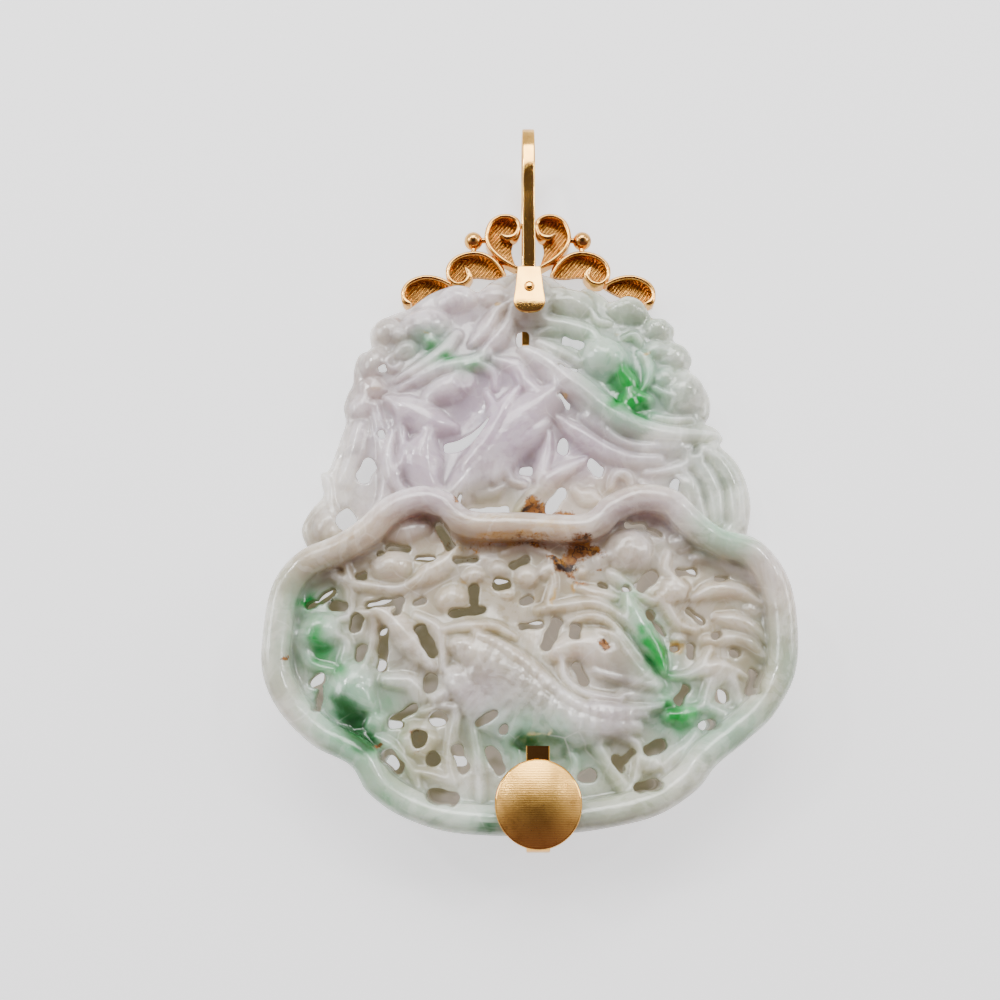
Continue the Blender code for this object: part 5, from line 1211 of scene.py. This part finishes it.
scrolls = {
    "upper": [(-1.3, 71.0), (-3.3, 72.3), (-4.8, 73.9), (-5.3, 75.6), (-4.8, 77.4), (-3.7, 78.3),
              (-2.4, 78.4), (-1.4, 77.8), (-1.2, 76.8), (-1.7, 75.7), (-2.7, 75.4), (-3.5, 75.8)],
    "middle": [(-3.0, 70.1), (-3.8, 71.4), (-4.9, 72.5), (-6.3, 73.1), (-8.0, 73.0), (-9.4, 72.3),
               (-10.2, 71.1), (-10.1, 69.7), (-9.2, 68.9), (-8.1, 69.1), (-7.5, 70.1), (-8.0, 71.1)],
    "outer": [(-9.9, 68.8), (-11.3, 69.5), (-12.8, 69.8), (-14.1, 69.6), (-15.3, 68.9),
              (-15.9, 67.8), (-15.7, 66.6), (-14.9, 66.1)]}

scrollFloors = {
    "upper": [(-1.5, 71.2), (-3.3, 72.3), (-4.8, 73.9), (-5.3, 75.6), (-4.8, 77.4), (-3.7, 78.3),
              (-2.4, 78.4), (-1.4, 77.6), (-1.7, 75.9), (-2.1, 73.9)],
    "middle": [(-3.1, 70.5), (-3.8, 71.4), (-4.9, 72.5), (-6.3, 73.1), (-8.0, 73.0), (-9.4, 72.3),
               (-10.2, 71.1), (-9.8, 69.6), (-8.6, 69.2), (-7.6, 70.1), (-6.6, 70.4), (-4.6, 70.2)],
    "outer": [(-10.1, 68.7), (-11.3, 69.5), (-12.8, 69.8), (-14.1, 69.6), (-15.3, 68.9),
              (-15.9, 67.8), (-15.3, 66.3), (-13.3, 67.0)]}


def galleryObject(gold, floorGold):
    s = gallery
    middle = s["back"] + s["tall"] / 2
    pieces = []

    def taper(share):
        curl = max(0.0, 1 - abs(share - 0.93) / 0.09)
        close = min(1.0, (1.0 - share) / 0.03 * 0.5 + 0.45)
        return (1.0, (0.8 + 0.2 * min(1.0, share * 6) + (s["curlEnd"] - 1) * curl) * close)

    for name, points in scrolls.items():
        for sign in (1, -1):
            run = smoothRun([(a * sign, u) for a, u in points], step=0.16)
            path = [(a, u - middleUp, middle) for a, u in run]
            pieces.append(sweep("scroll", path, (0, 0, 1),
                                roundedSection(s["tall"], s["wire"], 0.3, 5), gold, taper))
            floor = smoothRun([(a * sign, u - middleUp) for a, u in scrollFloors[name]],
                              closed=True, step=0.4)
            pieces.append(plate("floor", floor, s["floorLow"], s["floorHigh"], 0.0, floorGold))
    ball = (s["ballAcross"], s["ballUp"])
    links = [[(-1.6, 71.1), (1.6, 71.1)], [(-1.5, 77.4), (1.5, 77.4)], [(-4.5, 73.6), (-3.3, 71.0)],
             [(-10.1, 69.8), (-10.0, 68.9)], [(-7.0, 73.2), (-7.0, 74.9)],
             [(-5.2, 75.4), (-ball[0], ball[1])]]
    for index, ends in enumerate(links):
        for sign in ((1,) if index < 2 else (1, -1)):
            path = smoothRun([(a * sign, u) for a, u in ends], step=0.3)
            pieces.append(sweep("link", [(a, u - middleUp, middle) for a, u in path], (0, 0, 1),
                                roundedSection(0.72, 0.72, 0.34, 4), gold))
    for sign in (1, -1):
        profile = [(s["ball"] * max(0.02, math.cos(math.radians(t))),
                    middle + s["ball"] * math.sin(math.radians(t))) for t in range(-90, 91, 9)]
        pieces.append(turned("ball", profile, (sign * ball[0], ball[1]), gold, 40, 80))
    return joined("scrollWork", pieces)


clip = {"wide": 2.52, "thick": 0.8, "face": 12.3, "high": 11.3, "backHigh": 8.0, "low": 0.75,
        "bend": 0.8}
button = {"across": 0.4, "up": 5.4, "radius": 4.55, "thick": 0.75, "dome": 0.35, "fall": 0.5,
          "post": 0.6, "postDeep": 5.0}


def clipObject(gold):
    c = clip
    front = c["face"] - c["thick"] / 2
    back = bail["gap"] + c["thick"] / 2
    bend = c["bend"]
    low = c["low"]
    path = [(c["high"], front), (low + 4.6 * bend, front), (low + 3.1 * bend, front),
            (low + bend, front - 0.55 * bend), (low + 0.05 * bend, front - 2.2 * bend),
            (low, (front + back) / 2), (low + 0.05 * bend, back + 1.7 * bend),
            (low + bend, back + 0.32 * bend), (low + 2.6 * bend, back), (c["backHigh"], back)]
    run = smoothRun(path, step=0.3)
    run = [(up, min(depth, front)) for up, depth in run]
    return sweep("rimClip", [(button["across"], up - middleUp, depth) for up, depth in run], (1, 0, 0),
                 roundedSection(c["wide"], c["thick"] - 0.02, 0.14), gold)


def buttonObject(gold, engraved):
    b = button
    middle = (b["across"], b["up"])
    back = clip["face"] + bail["gap"]
    face = back + b["thick"] + b["dome"]
    r = b["radius"]
    profile = [(0.02, face)]
    for share in (0.1, 0.2, 0.3, 0.4, 0.5, 0.6, 0.7, 0.78, 0.86, 0.92, 0.96):
        profile.append((r * share, face - (b["dome"] + b["fall"]) * (share / 0.96) ** 2))
    low = profile[-1][1]
    top = turned("buttonFace", profile + [(r * 0.962, low - 0.1)], middle, engraved, 128, 60)
    rim = [(r * 0.963, low - 0.1), (r * 0.965, low - 0.01), (r * 0.98, low - 0.04),
           (r * 0.995, low - 0.1), (r, low - 0.18), (r, back + 0.12), (r * 0.985, back + 0.03),
           (r * 0.95, back), (b["post"] + 0.2, back), (b["post"], back - 0.2),
           (b["post"], back - b["postDeep"]), (0.02, back - b["postDeep"])]
    edge = turned("buttonEdge", rim, middle, gold, 128, 50)
    return joined("button", [top, edge])


room = {
    "floor": (0.54, 0.54, 0.545), "floorGlow": (1.25, 1.25, 1.26), "floorDim": (1.08, 1.07, 1.09),
    "walls": (1.35, 1.36, 1.38), "above": (0.09, 0.07, 0.085), "near": (0.17, 0.09, 0.11)}


def stageObjects():
    # A pale floor that glows a little, as a lit table does; its glow is dimmer towards the foot's side, a
    # painted shade
    g = Graph(bpy.data.materials.new("paleFloor"))
    place = g.place()
    along = g.node("ShaderNodeSeparateXYZ", {}, {0: place}).output(1)
    # Painted shade: the glow dims towards the foot's side
    glow = g.blend(g.step(along, -0.16, 0.08), room["floorDim"], room["floorGlow"])
    tone = g.blend(g.noise(place, 6.0, 2.0, 0.5), room["floor"], tuple(c * 0.985 for c in room["floor"]))
    surface = g.node("ShaderNodeBsdfPrincipled", {}, {
        "Base Color": tone, "Roughness": 0.6, "Specular IOR Level": 0.2, "Emission Color": glow,
        "Emission Strength": 1.0})
    bpy.ops.mesh.primitive_plane_add(size=4.0, location=(0, 0, 0))
    floor = bpy.context.object
    floor.name = "floor"
    floor.data.materials.append(g.finish(surface))


# Lights: place, width, height, power, colour
lamps = {
    "skyPanel": ((-0.03, 0.43, 0.56), 0.46, 0.32, 5.0, (1.0, 0.99, 0.97)),
    "leftPanel": ((-0.5, 0.12, 0.34), 0.22, 0.22, 1.3, (0.97, 0.98, 1.0)),
    "rightPanel": ((0.5, 0.12, 0.3), 0.2, 0.2, 1.0, (1.0, 0.98, 0.96)),
    "leftLamp": ((-0.36, 0.3, 0.5), 0.06, 0.06, 1.1, (1.0, 1.0, 1.0)),
    "rightLamp": ((0.34, 0.26, 0.52), 0.05, 0.05, 0.8, (1.0, 1.0, 1.0))}


def lights():
    for name, (place, wide, tall, power, colour) in lamps.items():
        data = bpy.data.lights.new(name, "AREA")
        data.shape = "RECTANGLE"
        data.size = wide
        data.size_y = tall
        data.energy = power
        data.color = colour
        item = bpy.data.objects.new(name, data)
        item.location = place
        item.rotation_euler = (-Vector(place)).to_track_quat("-Z", "Y").to_euler()
        bpy.context.scene.collection.objects.link(item)


def softRoom():
    # Pale walls that darken straight above and on the side of the foot, where nothing is lit
    g = Graph(bpy.data.worlds.new("softRoom"))
    toward = g.node("ShaderNodeTexCoord", output="Generated")

    def shade(axis, start, stop, first, last):
        part = g.node("ShaderNodeVectorMath", {"operation": "DOT_PRODUCT"},
                      {0: toward, 1: axis}, "Value")
        share = g.node("ShaderNodeMapRange", {}, {"Value": part, "From Min": start, "From Max": stop})
        return g.blend(share, first, last)

    overhead = shade((0.0, 0.05, 1.0), 0.72, 0.93, room["walls"], room["above"])
    beside = shade((0.0, 0.5, 0.0), -0.25, 0.1, room["near"], (1.0, 1.0, 1.0))
    both = g.node("ShaderNodeMix", {"data_type": "RGBA", "blend_type": "MULTIPLY"},
                  {0: 1.0, 6: overhead, 7: beside}, 2)
    light = g.node("ShaderNodeBackground", {}, {"Color": both})
    bpy.context.scene.world = g.finish(light, "ShaderNodeOutputWorld")


# The camera stands over this place, in millimetres, and tips towards the bail
view = {"across": -3.6, "up": 9.32, "high": 125.9, "tip": 14.2, "lens": 37.73}


def camera():
    data = bpy.data.cameras.new("camera")
    data.sensor_width = 36.0
    data.lens = view["lens"]
    data.clip_start = 0.005
    item = bpy.data.objects.new("camera", data)
    item.location = (view["across"] * mm, (view["up"] - middleUp) * mm, view["high"] * mm)
    item.rotation_euler = (math.radians(view["tip"]), 0.0, 0.0)
    bpy.context.scene.collection.objects.link(item)
    bpy.context.scene.camera = item


camera()
print("stone")
jade = jadeObject()
jade.data.materials.clear()
jade.data.materials.append(jadeMaterial())
print("gold")
gold = goldMaterial("polishedGold")
# The gallery's golds are painted darker, a painted shade and dark reflection: a coppery gold with strong
# blotches for the wires, a red gold with blotches and dark grooves for the floors
copperGoldPaintedShade = goldMaterial("copperGoldPaintedShade", 0.9, None, 0.17, "copper")
floorGold = goldMaterial("hatchedGold", 0.95, (38.0, 0.42, 0.1), 0.25, "red")
engravedGold = goldMaterial("ribbedGold", 0.35, (90.0, 0.17, 0.009), 0.29)
loopPiece, rivet = bailObjects(gold)
scrollWork = galleryObject(copperGoldPaintedShade, floorGold)
clipPiece = clipObject(gold)
buttonPiece = buttonObject(gold, engravedGold)
places = [(jade, "jade_carving", "jade"), (loopPiece, "bail", "gold"), (rivet, "rivet", "gold"),
          (scrollWork, "scroll_gallery", "gold"), (clipPiece, "rim_clip", "gold"),
          (buttonPiece, "button", "gold")]
for piece, node, finish in places:
    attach(piece, "root")
    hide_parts(node)
print("stage")
stageObjects()
lights()
softRoom()
